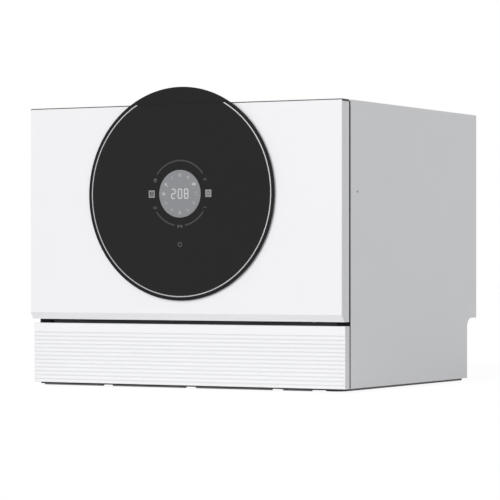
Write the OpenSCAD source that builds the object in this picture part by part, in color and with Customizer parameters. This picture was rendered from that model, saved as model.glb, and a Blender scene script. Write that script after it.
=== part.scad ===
// Countertop dishwasher: white drop-down door with a round black control disc,
// steel cabinet, pressed tub, sump and pumps in the base, and a roll-out rack.
// x runs to the right, y to the back, z up. The origin lies on the table,
// under the middle of the overall box.

/* [Cabinet] */
// Overall width
body_w = 550; // [530:1:600]
// Depth from the door's front face to the rear panel
body_d = 500; // [485:1:540]
// Height of the worktop above the table
body_h = 438; // [428:1:480]
// Thickness of the pressed steel panels
sheet = 1.2; // [0.8:0.1:1.5]
// Outer radius where a steel panel is folded
fold_r = 2; // [1.8:0.1:3]
// Width of the flanges folded along the panel edges
flange_w = 14; // [10:1:16]
// Depth of the hose recess along the rear bottom edge
recess_d = 39; // [30:1:45]
// Top of the hose recess above the table
recess_h = 104.4; // [90:0.1:115]
// Inner corner radius of the hose recess in the side panels
recess_r = 16; // [8:1:20]

/* [Base and feet] */
// How far the rubber feet stand below the base tray
foot_h = 3; // [1.5:0.5:4]
// Diameter of a rubber foot
foot_d = 34; // [26:1:40]
// Distance from a foot's middle to the cabinet's side
foot_in = 46; // [35:1:60]
// Thickness of the base tray's floor, which shows as the dark strip under the panels
base_floor = 3; // [3:0.5:5]
// Wall thickness of the base tray
base_t = 3; // [2:0.5:4]
// How far the base tray stops short of the recess wall
base_short = 20; // [15:1:30]
// Distance between the drain slots in the strip's lower edge
slot_pitch = 149; // [120:1:160]
// Width of one drain slot
slot_w = 16; // [10:1:20]

/* [Kick panel] */
// Height of the grooved kick panel
kick_h = 93.7; // [85:0.1:100]
// Setback of the kick panel from the door's front face
kick_set = 10.9; // [9:0.1:13]
// Wall thickness of the kick panel
kick_t = 2; // [1.5:0.1:2.5]
// Number of moulded grooves
groove_n = 13; // [8:1:14]
// Height of one groove and land together
groove_pitch = 6.13; // [5.5:0.01:6.4]
// Depth of a groove
groove_deep = 0.6; // [0.4:0.1:0.8]
// Radius of the cutter that shapes a groove
groove_r = 1.3; // [1:0.1:2]
// Open seam between the kick panel's sides and the side panels
kick_seam = 3.4; // [2:0.1:5]

/* [Door] */
// Depth of the door's side
door_t = 24; // [22:0.5:26]
// Gap between the door's back edge and the cabinet
door_gap = 4.9; // [4:0.1:6]
// Wall thickness of the door's front moulding
door_wall = 2; // [1.5:0.1:2.2]
// Depth of the chamfer along the door's lower front edge
chamfer_d = 8; // [5:0.5:9]
// Height of the same chamfer
chamfer_h = 10.6; // [8:0.1:12]
// Radius of the door's upright front edges
door_edge_r = 1.5; // [1:0.1:2]
// Thickness of the dark cap along the top of the door
cap_t = 1.5; // [1:0.1:2.5]
// Distance of the hinge axis behind the door's front face
hinge_in = 12.5; // [12:0.1:13]
// Height of the hinge axis above the door's lower edge
hinge_up = 8; // [7.5:0.1:9]
// Clearance over the kick panel when the door lies open
open_clear = 1.8; // [1:0.1:3]

/* [Control disc] */
// Diameter of the round glass control disc
disc_d = 327.6; // [300:0.1:335]
// How far the disc rises above the door as its handle
disc_over = 26; // [22:1:34]
// How far the disc stands proud of the door
disc_proud = 4; // [3.5:0.1:6]
// Depth of the handle's back lip behind the door's front face
lip_d = 6; // [4:0.5:9]
// Distance from the disc's edge to the silver ring
ring_in = 5.4; // [4:0.1:8]
// Width of the silver ring
ring_w = 1.6; // [1:0.1:2.5]
// Thickness of the black glass
glass_t = 2.6; // [2:0.1:3]
// Diameter of the round display window
window_d = 73; // [60:1:80]

/* [Tub] */
// Space between the cabinet's side and the tub
tub_side = 28; // [26:1:32]
// Space between the worktop and the tub
tub_top = 30; // [30:1:34]
// Space between the rear panel and the tub
tub_back = 30; // [24:1:34]
// Height of the tub's underside above the door's lower edge
tub_up = 18.8; // [18:0.1:22]
// Corner radius of the tub
tub_r = 20; // [18:1:24]
// Width of the sump opening in the tub's floor
sump_w = 150; // [130:1:160]
// Length of the sump opening
sump_l = 170; // [160:1:180]
// Diameter of the filter cup
cup_d = 68; // [60:1:72]
// Diameter that the spray arm sweeps
spray_d = 384; // [340:1:388]
// Diameter of the shaft that the spray arm turns on
spray_shaft_d = 22; // [18:1:24]

/* [Rack] */
// Diameter of the rack's wires
wire_d = 3.2; // [2.8:0.1:4]
// Diameter of the rack's rim wire
rim_d = 4.6; // [4:0.1:6]
// Height of the rack's rim above its floor
rack_h = 84; // [70:1:96]
// Diameter of a rack wheel
wheel_d = 24; // [22:1:26]
// Width of a rack wheel
wheel_w = 6; // [5:0.5:6.5]
// Free travel of the rack with the door shut
rack_play = 10; // [5:1:10]
// Number of floor wires that run front to back
wires_x = 13; // [9:1:15]
// Number of floor wires that run side to side
wires_y = 8; // [6:1:10]
// Length of a plate tine
tine_l = 62; // [50:1:70]
// Width of a folding cup shelf
shelf_w = 88; // [70:1:92]
// Length of a folding cup shelf
shelf_l = 200; // [160:1:240]
// Height of the cup shelves above the rack's floor
shelf_up = 124; // [118:1:130]

/* [Fits] */
// Clearance between pieces of one assembly that only rest against each other
fit = 0.3; // [0.2:0.05:0.5]
// Radial clearance of a running shaft in its bore
run = 0.05; // [0.03:0.01:0.08]

/* [Hidden] */
$fn = 64;
cut = 1; // how far a cutter runs past the face that it opens

// Main planes of the cabinet and the door
side_x = body_w / 2;
front_y = -(body_d + disc_proud) / 2 + disc_proud;
rear_y = front_y + body_d;
cab_y = front_y + door_t + door_gap;
recess_y = rear_y - recess_d;
skirt_z = foot_h + base_floor;
kick_z1 = skirt_z + kick_h;
door_z0 = kick_z1 + hinge_in - hinge_up + open_clear;
door_back = front_y + door_t;
cap_z = body_h - cap_t;
screw_h = 2;
back_y = rear_y - screw_h;
hinge_y = front_y + hinge_in;
hinge_z = door_z0 + hinge_up;
panel_gap = 1;
inner_x = side_x - sheet - panel_gap;

// Base tray
base_y0 = cab_y + sheet + panel_gap;
base_y1 = recess_y - base_short;
base_z1 = door_z0 - 2;
gusset_w = 13;
tower = 24;
tower_x = side_x - 50;
tower_y0 = base_y0 + 18;
tower_y1 = base_y1 - 26;

// Tub and the raised pan of the inner door
tub_x = side_x - tub_side;
tub_z0 = door_z0 + tub_up;
tub_z1 = body_h - tub_top;
tub_y1 = rear_y - tub_back;
tub_xi = tub_x - sheet;
floor_z = tub_z0 + sheet;
runner_t = 4;
runner_z = floor_z + tub_r - sheet + runner_t;
pan_x = tub_xi - 7.3;
pan_z0 = floor_z + 14;
pan_z1 = tub_z1 - sheet - 12;
pan_d = runner_z - hinge_z - (door_t - hinge_in) - 0.5; // level with the runners when open
pan_y = door_back + pan_d;
liner_y = door_back - sheet;
liner_x = side_x - door_wall - 0.4;
seal_w = 10;
seal_t = door_gap - fit;

// Sump, filter and spray arm
hub_y = 18;
cup_y = hub_y - 80;
sump_y1 = hub_y + 46;
sump_y0 = sump_y1 - sump_l;
sump_r = 30;
sump_t = 3;
ledge = 5;
bowl_z = tub_z0 - 22;
cup_r = cup_d / 2;
well_r = cup_r + 5;
well_z0 = skirt_z + 42;
filter_t = 1.5;
plate_z1 = tub_z0 + filter_t;
spray_z0 = floor_z + 16;
spray_t = 10;
shaft_r = spray_shaft_d / 2;
pump_z = skirt_z + 56;

// Salt container and float
salt_x = 120 - side_x;
salt_y = 90;
salt_r = 32;
float_x = tub_xi - 56;
float_y = cab_y + 70;
float_r = 10;
float_travel = 8;

// Runners, wheels and rack
wheel_r = wheel_d / 2;
wheel_x = tub_xi - 14;
axle_z = runner_z + wheel_r;
axle_r = 3;
guide_z = axle_z + wheel_r + 2.5;
rack_x = wheel_x - 14;
rack_z = axle_z + 15;
tray_proud = 9;
rack_y0 = pan_y + tray_proud + 5 + rack_play;
rack_y1 = tub_y1 - sheet - 22;
rack_top = rack_z + rack_h;
rack_z2 = rack_z + 0.7 * wire_d; // wires that run side to side
bed_z = rack_z2 + wire_d / 2;
band_up = 8;
band_out = wire_d * 0.55;
weld = 0.1; // clearance where one wire ends on another
tine_n = 11;
tine_pitch = 30;
grip_w = 130;
grip_room = 17;
bed_step = (rack_y1 - rack_y0 - 28) / (wires_y - 1);
wheel_y0 = rack_y0 + 36;
wheel_y1 = rack_y1 - 36;
shelf_z = rack_z + shelf_up;
shelf_x = rack_x - 4;
shelf_y = (rack_y0 + rack_y1) / 2;
pivot_r = 2.5;
shelf_post = shelf_l / 2 - 16;

// Hinge brackets and arms
bracket_t = 3;
bracket_x = tub_x + 4;
arm_x = bracket_x + bracket_t + 0.5;
arm_t = 3;
pin_r = 3;
tongue_lo = 3.5;
tongue_hi = 5;
boss_r = 5.2;

// Latch at the middle of the door's top
latch_z = (tub_z1 + body_h) / 2 + 1;
strike_r = 2;
strike_y = cab_y + 10;
hook_y = strike_y + 23;
hook_z = latch_z + 7.3;
hook_w = 6;
hook_pin_r = 2;
slot_half = 5;
strike_half = 12;

// Control disc
disc_r = disc_d / 2;
disc_z = body_h + disc_over - disc_r;
disc_y = front_y - disc_proud;
taper = 0.6;
chord_z = body_h;
ring_r1 = disc_r - ring_in;
ring_r0 = ring_r1 - ring_w;
spigot_r = cap_z - disc_z - 14;
window_r = window_d / 2;
window_rim = 3;
housing_y1 = liner_y - 4;

// Detergent dispenser
tray_w = 150;
tray_h = 96;
tray_z = (pan_z0 + pan_z1) / 2;
tray_flange = 2;
tray_lap = 8.5;
tray_deep = 20;
chamber_w = 60;
chamber_h = 50;
chamber_x = -tray_w / 2 + tray_lap + 2.5 + chamber_w / 2;
knob_x = tray_w / 2 - 33;
knob_z = tray_z + 20;
button_z = tray_z - 24;
knob_r = 16;
button_r = 7;
button_travel = 3;
lid_t = 3;
lid_lap = 3;
lid_travel = 48;

// Hose and cord fittings at the rear
valve_r = 13.2;
barb_r = 9;
gland_r = 9;
cord_r = 4.1;
valve_half = 16;
hose_r = 10.4;
valve_x = -tower_x + tower / 2 + valve_half + 17;
spigot_x = -62;
gland_x = tower_x - tower / 2 - gland_r - 9;

// ---- helpers ----

// Extrudes a (y, z) outline along x
module along_x(x0, len) {
    translate([x0, 0, 0]) rotate([90, 0, 90]) linear_extrude(len) children();
}

// Extrudes an (x, z) outline along y
module along_y(y0, len) {
    translate([0, y0 + len, 0]) rotate([90, 0, 0]) linear_extrude(len) children();
}

// Extrudes an (x, y) outline along z
module along_z(z0, len) {
    translate([0, 0, z0]) linear_extrude(len) children();
}

// Rectangle given by two corners
module rect(x0, y0, x1, y1) {
    translate([x0, y0]) square([x1 - x0, y1 - y0]);
}

// Rectangle given by two corners, with round corners
module round_rect(x0, y0, x1, y1, r) {
    rect(x0 + r, y0, x1 - r, y1);
    rect(x0, y0 + r, x1, y1 - r);
    for (x = [x0 + r, x1 - r], y = [y0 + r, y1 - r]) translate([x, y]) circle(r);
}

// Block given by two opposite corners
module block(a, b) {
    translate(a) cube(b - a);
}

// Round bar along x, y or z that starts at p
module bar_x(p, len, r) {
    translate(p) rotate([0, 90, 0]) cylinder(h = len, r = r);
}
module bar_y(p, len, r) {
    translate(p) rotate([-90, 0, 0]) cylinder(h = len, r = r);
}
module bar_z(p, len, r) {
    translate(p) cylinder(h = len, r = r);
}

// Ring between two radii along y
module ring_y(y0, len, r1, r0) {
    translate([0, y0, 0]) rotate([-90, 0, 0]) difference() {
        cylinder(h = len, r = r1);
        translate([0, 0, -cut]) cylinder(h = len + 2 * cut, r = r0);
    }
}

// Straight six-sided wire between two points
module wire(p, q, d = wire_d) {
    v = q - p;
    flat = norm([v.x, v.y]);
    translate(p) rotate([0, atan2(flat, v.z), atan2(v.y, v.x)])
        cylinder(h = norm(v), d = d, $fn = 6);
}

module mirrored(side) {
    if (side < 0) mirror([1, 0, 0]) children();
    else children();
}

// n places spread evenly from a to b
function spread(a, b, n) = [for (i = [0:n - 1]) a + (b - a) * i / (n - 1)];

// ---- cabinet ----

// Outline of the sump opening, drawn in or out by a margin
module sump_outline(margin) {
    round_rect(-sump_w / 2 - margin, sump_y0 - margin, sump_w / 2 + margin, sump_y1 + margin,
        sump_r + margin);
}

// Moulded tray that carries the tub, the pumps and the outer panels
module base_tray() {
    color([0.16, 0.16, 0.17]) difference() {
        union() {
            along_z(foot_h, base_floor)
                rect(-side_x + panel_gap, cab_y, side_x - panel_gap, base_y1);
            along_z(skirt_z - cut, base_z1 - skirt_z + cut) difference() {
                rect(-inner_x, base_y0, inner_x, base_y1);
                rect(-inner_x + base_t, base_y0 + base_t, inner_x - base_t, base_y1 - base_t);
            }
            for (x = [-tower_x, tower_x], y = [tower_y0, tower_y1])
                along_z(skirt_z - cut, tub_z0 - skirt_z + cut) difference() {
                    rect(x - tower / 2, y - tower / 2, x + tower / 2, y + tower / 2);
                    rect(x - tower / 2 + base_t, y - tower / 2 + base_t,
                        x + tower / 2 - base_t, y + tower / 2 - base_t);
                }
            for (side = [-1, 1]) mirrored(side) {
                hinge_ledge();
                for (y = spread(base_y0 + 80, base_y1 - 40, 4)) along_y(y, base_t)
                    translate([inner_x - 1, skirt_z - cut]) mirror([1, 0]) gusset();
            }
            for (x = spread(-200, 200, 6)) along_x(x, base_t)
                translate([base_y0 + 1, skirt_z - cut]) gusset();
            pump_cradle();
        }
        for (x = [-slot_pitch, 0, slot_pitch])
            block([x - slot_w / 2, cab_y - cut, foot_h - cut],
                [x + slot_w / 2, cab_y + base_t * 2, foot_h + base_floor * 0.55]);
        for (p = foot_places()) bar_z([p.x, p.y, foot_h - cut], base_floor + 2 * cut, 5 + fit);
        // ways out through the rear wall for the hose, the valve and the cord
        bar_y([spigot_x, base_y1 - base_t - cut, pump_z], base_t + 2 * cut, hose_r + 1);
        bar_y([gland_x, base_y1 - base_t - cut, pump_z], base_t + 2 * cut, gland_r);
        block([valve_x - valve_half - 2, base_y1 - base_t - cut, pump_z - valve_half - 2],
            [valve_x + valve_half + 2, base_y1 + cut, base_z1 + cut]);
    }
}

// Shelf on the side wall that carries a hinge bracket, with two gussets
module hinge_ledge() {
    block([bracket_x - 2, base_y0 + cut, base_z1 - base_t], [inner_x - 1, base_y0 + 62, base_z1]);
    for (y = [base_y0 + 16, base_y0 + 52]) along_y(y, base_t)
        polygon([[inner_x - 1, base_z1 - 30], [inner_x - 1, base_z1 - 1], [bracket_x - 1, base_z1 - 1]]);
}

// Triangle that stiffens the corner between a wall of the tray and its floor
module gusset() {
    polygon([[0, 0], [gusset_w, 0], [0, gusset_w * 3]]);
}

// Two saddles under the wash pump's motor
module pump_cradle() {
    for (x = [motor_x0 + 8, motor_x1 - 16]) difference() {
        block([x, cup_y - 24, skirt_z - cut], [x + 8, cup_y + 24, pump_z - 12]);
        bar_x([x - cut, cup_y, pump_z], 8 + 2 * cut, motor_r + fit);
    }
}

function foot_places() = [
    for (x = [-side_x + foot_in, side_x - foot_in], y = [base_y0 + 45, base_y1 - 55]) [x, y]
];

// Four rubber feet, each plugged into the tray
module feet() {
    color([0.1, 0.1, 0.1]) for (p = foot_places()) {
        bar_z([p.x, p.y, 0], foot_h, foot_d / 2);
        bar_z([p.x, p.y, foot_h - 0.5], base_floor + 0.5, 5);
    }
}

// Side wall in painted steel, folded in at the front, the back and the top
module side_panel() {
    color([0.75, 0.755, 0.765]) difference() {
        union() {
            along_z(skirt_z, body_h - skirt_z) difference() {
                round_rect(side_x - flange_w - fold_r, cab_y, side_x, rear_y, fold_r);
                round_rect(side_x - flange_w - fold_r - cut, cab_y + sheet, side_x - sheet,
                    rear_y - sheet, fold_r - sheet + 0.1);
                rect(side_x - flange_w - fold_r - cut, cab_y - cut, side_x - flange_w,
                    rear_y + cut);
            }
            block([side_x - flange_w, cab_y + flange_w, body_h - 2 * sheet - fit],
                [side_x - sheet / 2, rear_y - flange_w, body_h - sheet - fit]);
        }
        along_x(side_x - flange_w - cut, flange_w + 2 * cut) recess_outline(0);
        block([side_x - flange_w - cut, cab_y - cut, body_h - sheet - top_lip - fit],
            [side_x - sheet, cab_y + sheet + cut, body_h + cut]);
        bar_x([side_x - sheet - cut, dot_y, dot_z], sheet + 2 * cut, dot_r + fit / 2);
    }
}

// The hose recess in (y, z), grown by a margin
module recess_outline(margin) {
    difference() {
        rect(recess_y - margin, skirt_z - cut, rear_y + cut, recess_h + margin);
        difference() {
            rect(recess_y - margin - cut, recess_h + margin - recess_r,
                recess_y - margin + recess_r, recess_h + margin + cut);
            translate([recess_y - margin + recess_r, recess_h + margin - recess_r])
                circle(recess_r);
            rect(recess_y - margin + recess_r, recess_h - recess_r - cut, rear_y,
                recess_h + margin + cut);
        }
    }
}

dot_y = cab_y + 23;
dot_z = 301 / 438 * body_h;
dot_r = 1.6;
top_lip = 6.6;

// Worktop panel, folded down along the front
module top_panel() {
    color([0.93, 0.93, 0.935])
        along_x(-side_x + sheet + fit, body_w - 2 * sheet - 2 * fit) difference() {
            union() {
                round_rect(cab_y, body_h - 3 * fold_r, rear_y - sheet - fit, body_h, fold_r);
                rect(cab_y, body_h - sheet - top_lip, cab_y + sheet, body_h - fold_r);
            }
            round_rect(cab_y + sheet, body_h - 4 * fold_r, rear_y + body_d, body_h - sheet,
                fold_r - sheet + 0.1);
            rect(cab_y + 2 * fold_r, 0, rear_y + cut, body_h - sheet);
        }
}

// Rear wall with the stepped recess that the hoses leave from
module rear_panel() {
    x0 = side_x - sheet - fit;
    color([0.72, 0.725, 0.735]) difference() {
        along_x(-x0, 2 * x0) {
            rect(back_y - sheet, recess_h, back_y, body_h - sheet - fit);
            rect(recess_y - sheet, recess_h, back_y, recess_h + sheet);
            rect(recess_y - sheet, skirt_z, recess_y, recess_h + sheet);
        }
        for (side = [-1, 1]) mirrored(side) {
            block([side_x - flange_w - fit, rear_y - 2 * sheet, recess_h - cut],
                [side_x, rear_y + cut, body_h]);
            block([side_x - flange_w - fit, recess_y + fit, recess_h - cut],
                [side_x, rear_y + cut, recess_h + sheet + cut]);
        }
        bar_y([valve_x, recess_y - sheet - cut, pump_z], sheet + 2 * cut, valve_r + 1);
        bar_y([spigot_x, recess_y - sheet - cut, pump_z], sheet + 2 * cut, barb_r + 1);
        bar_y([gland_x, recess_y - sheet - cut, pump_z], sheet + 2 * cut, gland_r + fit);
        for (z = spread(body_h - 120, body_h - 60, 6))
            along_y(back_y - sheet - cut, sheet + 2 * cut) round_rect(-60, z - 2, 60, z + 2, 1.9);
    }
}

// Moulded plinth panel with its row of shallow grooves; an open seam parts it from the sides
module kick_panel() {
    y0 = front_y + kick_set;
    y1 = cab_y - kick_seam;
    rib = 6;
    color([0.95, 0.95, 0.955]) {
        difference() {
            along_x(-side_x, body_w) round_rect(y0, skirt_z, y1 + kick_t, kick_z1, 1);
            block([-side_x - cut, y1, 0], [side_x + cut, y1 + 2 * kick_t, body_h]);
            block([-side_x + kick_t, y0 + kick_t, skirt_z + kick_t],
                [side_x - kick_t, y1 + cut, kick_z1 - kick_t]);
            along_x(-side_x - cut, body_w + 2 * cut) for (i = [0:groove_n - 1])
                translate([y0 - groove_r + groove_deep, kick_z1 - 15 - i * groove_pitch])
                    circle(groove_r, $fn = 24);
        }
        for (x = spread(-side_x + 50, side_x - 50, 8))
            block([x - kick_t / 2, y0 + kick_t - 0.5, skirt_z + kick_t / 2],
                [x + kick_t / 2, y0 + kick_t + rib, kick_z1 - kick_t / 2]);
        for (s = [-1, 1]) mirrored(s) for (z = spread(skirt_z + 10, kick_z1 - 20, 3))
            along_z(z, 2 + rib) kick_lug(y1);
    }
}

// Outline in (x, y) of a lug inside the panel's side; it rests against the side panel's flange
module kick_lug(y1) {
    x1 = side_x - kick_t;
    polygon([
        [x1 - 6, y1 - 8], [x1 + 0.5, y1 - 8], [x1 + 0.5, y1], [x1 - 1, cab_y - fit],
        [x1 - 6, cab_y - fit]
    ]);
}

// Pressed tub with its front flange
module tub() {
    z1 = body_h - sheet - top_lip - 0.2;
    color([0.78, 0.79, 0.8]) difference() {
        union() {
            difference() {
                along_y(cab_y, tub_y1 - cab_y)
                    round_rect(-tub_x, tub_z0, tub_x, tub_z1, tub_r);
                along_y(cab_y - cut, tub_y1 - cab_y + cut - sheet)
                    round_rect(-tub_xi, floor_z, tub_xi, tub_z1 - sheet, tub_r - sheet);
            }
            along_y(cab_y, sheet) difference() {
                rect(-side_x + flange_w + fit, door_z0 + 2, side_x - flange_w - fit, z1);
                round_rect(-tub_xi, floor_z, tub_xi, tub_z1 - sheet, tub_r - sheet);
            }
        }
        along_z(tub_z0 - cut, sheet + 2 * cut) sump_outline(0);
        bar_z([salt_x, salt_y, tub_z0 - cut], sheet + 2 * cut, salt_r + fit);
        bar_z([float_x, float_y, tub_z0 - cut], sheet + 2 * cut, float_r + 1);
        bar_x([-tub_x - cut, vent_y, vent_z], sheet + 2 * cut, vent_r + fit);
        block([-strike_half - 3, cab_y - cut, latch_z - slot_half],
            [strike_half + 3, cab_y + sheet + cut, z1 + cut]);
        for (side = [-1, 1]) mirrored(side)
            block([bracket_x - 1.5, cab_y - cut, door_z0],
                [bracket_x + bracket_t + 1.5, cab_y + sheet + cut, hinge_z + tongue_hi + 1.5]);
    }
}

// Rubber door seal along the sides and the top of the tub's mouth
module tub_gasket() {
    x1 = tub_x + 1 + seal_w;
    z0 = hinge_z + 16;
    z1 = tub_z1 + 1 + seal_w;
    color([0.32, 0.32, 0.33]) difference() {
        along_y(cab_y - seal_t, seal_t) difference() {
            round_rect(-x1, z0 - 40, x1, z1, tub_r + 1 + seal_w);
            round_rect(-x1 + seal_w, z0 - 60, x1 - seal_w, z1 - seal_w, tub_r + 1);
        }
        block([-side_x, front_y, 0], [side_x, rear_y, z0]);
        along_y(cab_y - seal_t * 0.7, seal_t * 0.4) difference() {
            round_rect(-x1 - cut, z0 - 60, x1 + cut, z1 + cut, tub_r + 1 + seal_w + cut);
            round_rect(-x1 + seal_w * 0.6, z0 - 70, x1 - seal_w * 0.6, z1 - seal_w * 0.6,
                tub_r + 1 + seal_w * 0.4);
        }
    }
}

// Rail on the tub's wall that a pair of rack wheels rolls on, and the guide strip that
// keeps the rack from tipping; both have a sloped nose where the wheels come in
module runner() {
    x0 = wheel_x - wheel_w / 2 - 4;
    x1 = tub_xi - fit / 2;
    y0 = cab_y + 26;
    y1 = tub_y1 - sheet - 6;
    nose = 6;
    color([0.86, 0.86, 0.85]) {
        along_x(x0, x1 - x0) polygon([
            [y0, runner_z - runner_t], [y0, runner_z - 1.5], [y0 + nose, runner_z],
            [y1, runner_z], [y1, runner_z - runner_t]
        ]);
        along_x(wheel_x - wheel_w / 2, x1 - wheel_x + wheel_w / 2) polygon([
            [y0, guide_z + 3], [y0, guide_z + 1.5], [y0 + nose, guide_z], [y1, guide_z],
            [y1, guide_z + 3]
        ]);
    }
}

// ---- water circuit ----

motor_r = 30;
motor_x0 = well_r + 38;
motor_x1 = motor_x0 + 78;
vent_y = 110;
vent_z = (tub_z0 + tub_z1) / 2 + 30;
vent_r = 16;

// Plastic sump under the tub, with the well that holds the filter cup
module sump() {
    color([0.82, 0.82, 0.8]) difference() {
        union() {
            along_z(tub_z0 - sump_t, sump_t) sump_outline(8);
            along_z(bowl_z, tub_z0 - bowl_z) sump_outline(0);
            bar_z([0, cup_y, well_z0], bowl_z - well_z0 + 1, well_r);
            bar_x([0, cup_y, pump_z], well_r + 8, 16);
            bar_x([-well_r - 8, cup_y, pump_z], well_r + 8, 16);
        }
        along_z(bowl_z + sump_t, tub_z0 - bowl_z) sump_outline(-ledge);
        bar_z([0, cup_y, well_z0 + sump_t], tub_z0 - well_z0, well_r - sump_t);
        bar_x([-well_r - 8 - cut, cup_y, pump_z], 2 * (well_r + 8 + cut), 12.5);
        bar_z([0, hub_y, bowl_z - cut], sump_t + 2 * cut, riser_r + fit);
    }
}

// Perforated steel plate over the sump
module main_filter() {
    color([0.7, 0.71, 0.72]) difference() {
        along_z(tub_z0, filter_t) sump_outline(-0.6);
        bar_z([0, cup_y, tub_z0 - cut], filter_t + 2 * cut, cup_r + 0.8);
        bar_z([0, hub_y, tub_z0 - cut], filter_t + 2 * cut, riser_r + fit);
        for (side = [-1, 1], i = [0:6]) {
            x = side * (sump_w / 2 - 18);
            y = sump_y0 + sump_r + i * (sump_l - 2 * sump_r) / 6;
            along_z(tub_z0 - cut, filter_t + 2 * cut) round_rect(x - 9, y - 1.6, x + 9, y + 1.6, 1.5);
        }
    }
}

// Cup that screws into the well and lifts out for cleaning
module filter_cup() {
    z0 = well_z0 + sump_t + 4;
    z1 = plate_z1 + fit;
    color([0.55, 0.57, 0.6]) translate([0, cup_y, 0]) {
        difference() {
            union() {
                bar_z([0, 0, z0], z1 - z0 + 1, cup_r);
                bar_z([0, 0, z1], 3, cup_r + 5);
            }
            bar_z([0, 0, z0 + 2], z1 - z0 + 4, cup_r - 2);
            for (a = [45:90:315], k = [0, 1]) rotate([0, 0, a])
                block([0, -17, z0 + 8 + 27 * k], [cup_r + cut, 17, z0 + 31 + 27 * k]);
        }
        block([-cup_r + 0.5, -2.5, z1 - 8], [cup_r - 0.5, 2.5, z1 + 9]);
    }
}

riser_r = 14;

// Fixed riser that feeds the spray arm and carries it on its shaft
module spray_hub() {
    z1 = spray_z0 + spray_t;
    color([0.6, 0.62, 0.64]) translate([0, hub_y, 0]) difference() {
        union() {
            bar_z([0, 0, pump_z + 6], spray_z0 - fit - pump_z - 6, riser_r);
            bar_z([0, 0, spray_z0 - 4], z1 + 6 - spray_z0 + 4, shaft_r);
            bar_z([0, 0, z1 + fit], 5, shaft_r + 3);
            bar_x([0, 0, pump_z + 18], well_r + 4, 9);
        }
        bar_z([0, 0, pump_z + 9], z1 - pump_z - 11, 8);
        bar_x([0, 0, pump_z + 18], well_r + 5, 7);
    }
}

// Curved two-armed rotor with its nozzles
module spray_arm() {
    reach = spray_d / 2;
    tip_r = 11;
    color([0.62, 0.66, 0.7]) translate([0, hub_y, spray_z0]) difference() {
        union() {
            linear_extrude(spray_t) circle(shaft_r + 14);
            for (a = [0, 180]) rotate([0, 0, a]) {
                translate([0, 0, 1]) linear_extrude(spray_t - 2) spray_blade(reach, tip_r);
                for (k = [0:5]) {
                    x = 50 + k * (reach - 70) / 5;
                    translate([x, spray_bow(x, reach), spray_t - 1.5]) cylinder(h = 2.5, r1 = 5, r2 = 3.4);
                }
            }
        }
        translate([0, 0, -cut]) cylinder(h = spray_t + 2 * cut, r = shaft_r + run);
        for (a = [0, 180]) rotate([0, 0, a]) for (k = [0:5]) {
            x = 50 + k * (reach - 70) / 5;
            translate([x, spray_bow(x, reach), spray_t - 2]) cylinder(h = 5, r = 1.5, $fn = 24);
        }
    }
}

// Sideways bow of the rotor's middle line at a distance x from the shaft
function spray_bow(x, reach) = 16 * sin(180 * x / reach);

module spray_blade(reach, tip_r) {
    n = 8;
    xs = spread(0, reach - tip_r, n + 1);
    half = function (x) 20 - (20 - tip_r) * x / (reach - tip_r);
    polygon(concat(
        [for (x = xs) [x, spray_bow(x, reach) + half(x)]],
        [for (i = [0:n]) [xs[n - i], spray_bow(xs[n - i], reach) - half(xs[n - i])]]
    ));
    translate([reach - tip_r, spray_bow(reach - tip_r, reach)]) circle(tip_r);
}

// Circulation pump: volute, finned motor, end bell and terminal block
module wash_pump() {
    x0 = well_r + 8 + fit;
    fin_n = 10;
    fin = (motor_x1 - motor_x0 - 20) / fin_n;
    color([0.3, 0.31, 0.33]) {
        translate([0, cup_y, pump_z]) rotate([0, 90, 0]) rotate_extrude()
            polygon(concat(
                [[0, x0 + 6], [12, x0 + 6], [12, x0], [15, x0], [15, x0 + 8], [34, x0 + 8],
                    [36, x0 + 11], [36, x0 + 24], [33, motor_x0], [motor_r, motor_x0]],
                [for (i = [0:fin_n - 1], p = [[motor_r, 0.5], [motor_r - 2.5, 0.6],
                    [motor_r - 2.5, 0.9], [motor_r, 1]]) [p.x, motor_x0 + 4 + fin * (i + p.y)]],
                [[motor_r, motor_x1 - 12], [motor_r - 6, motor_x1 - 8],
                    [motor_r - 8, motor_x1], [0, motor_x1]]
            ));
        bar_y([x0 + 17, cup_y + 20, pump_z + 18], 34, 9);
        for (a = [0:60:300]) translate([x0 + 8, cup_y, pump_z]) rotate([a, 0, 0])
            block([-2, -1, 16], [1, 1, 33]);
        block([motor_x0 + 28, cup_y - 10, pump_z + motor_r - 5],
            [motor_x0 + 50, cup_y + 10, pump_z + motor_r + 6]);
        for (y = [-6, 0, 6]) block([motor_x0 + 34, cup_y + y - 0.4, pump_z + motor_r + 5],
            [motor_x0 + 40, cup_y + y + 0.4, pump_z + motor_r + 10]);
    }
}

// Flow-through heater between the wash pump and the spray arm's riser
module heater() {
    x = well_r + 8 + fit + 17;
    y0 = cup_y + 54 + fit;
    z = pump_z + 18;
    color([0.6, 0.6, 0.62]) {
        translate([x, y0, z]) rotate([-90, 0, 0]) rotate_extrude()
            polygon([[0, 0], [12, 0], [16, 4], [16, 60], [12, 64], [0, 64]]);
        bar_x([well_r + 4 + fit, hub_y, z], x - well_r - 8, 9);
        for (y = [14, 50]) bar_y([x, y0 + y, z], 3, 18);
        for (s = [-1, 1]) {
            bar_y([x + 7 * s, y0 + 60, z], 8, 4.5);
            bar_y([x + 7 * s, y0 + 60, z], 14, 2.5);
        }
    }
}

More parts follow.
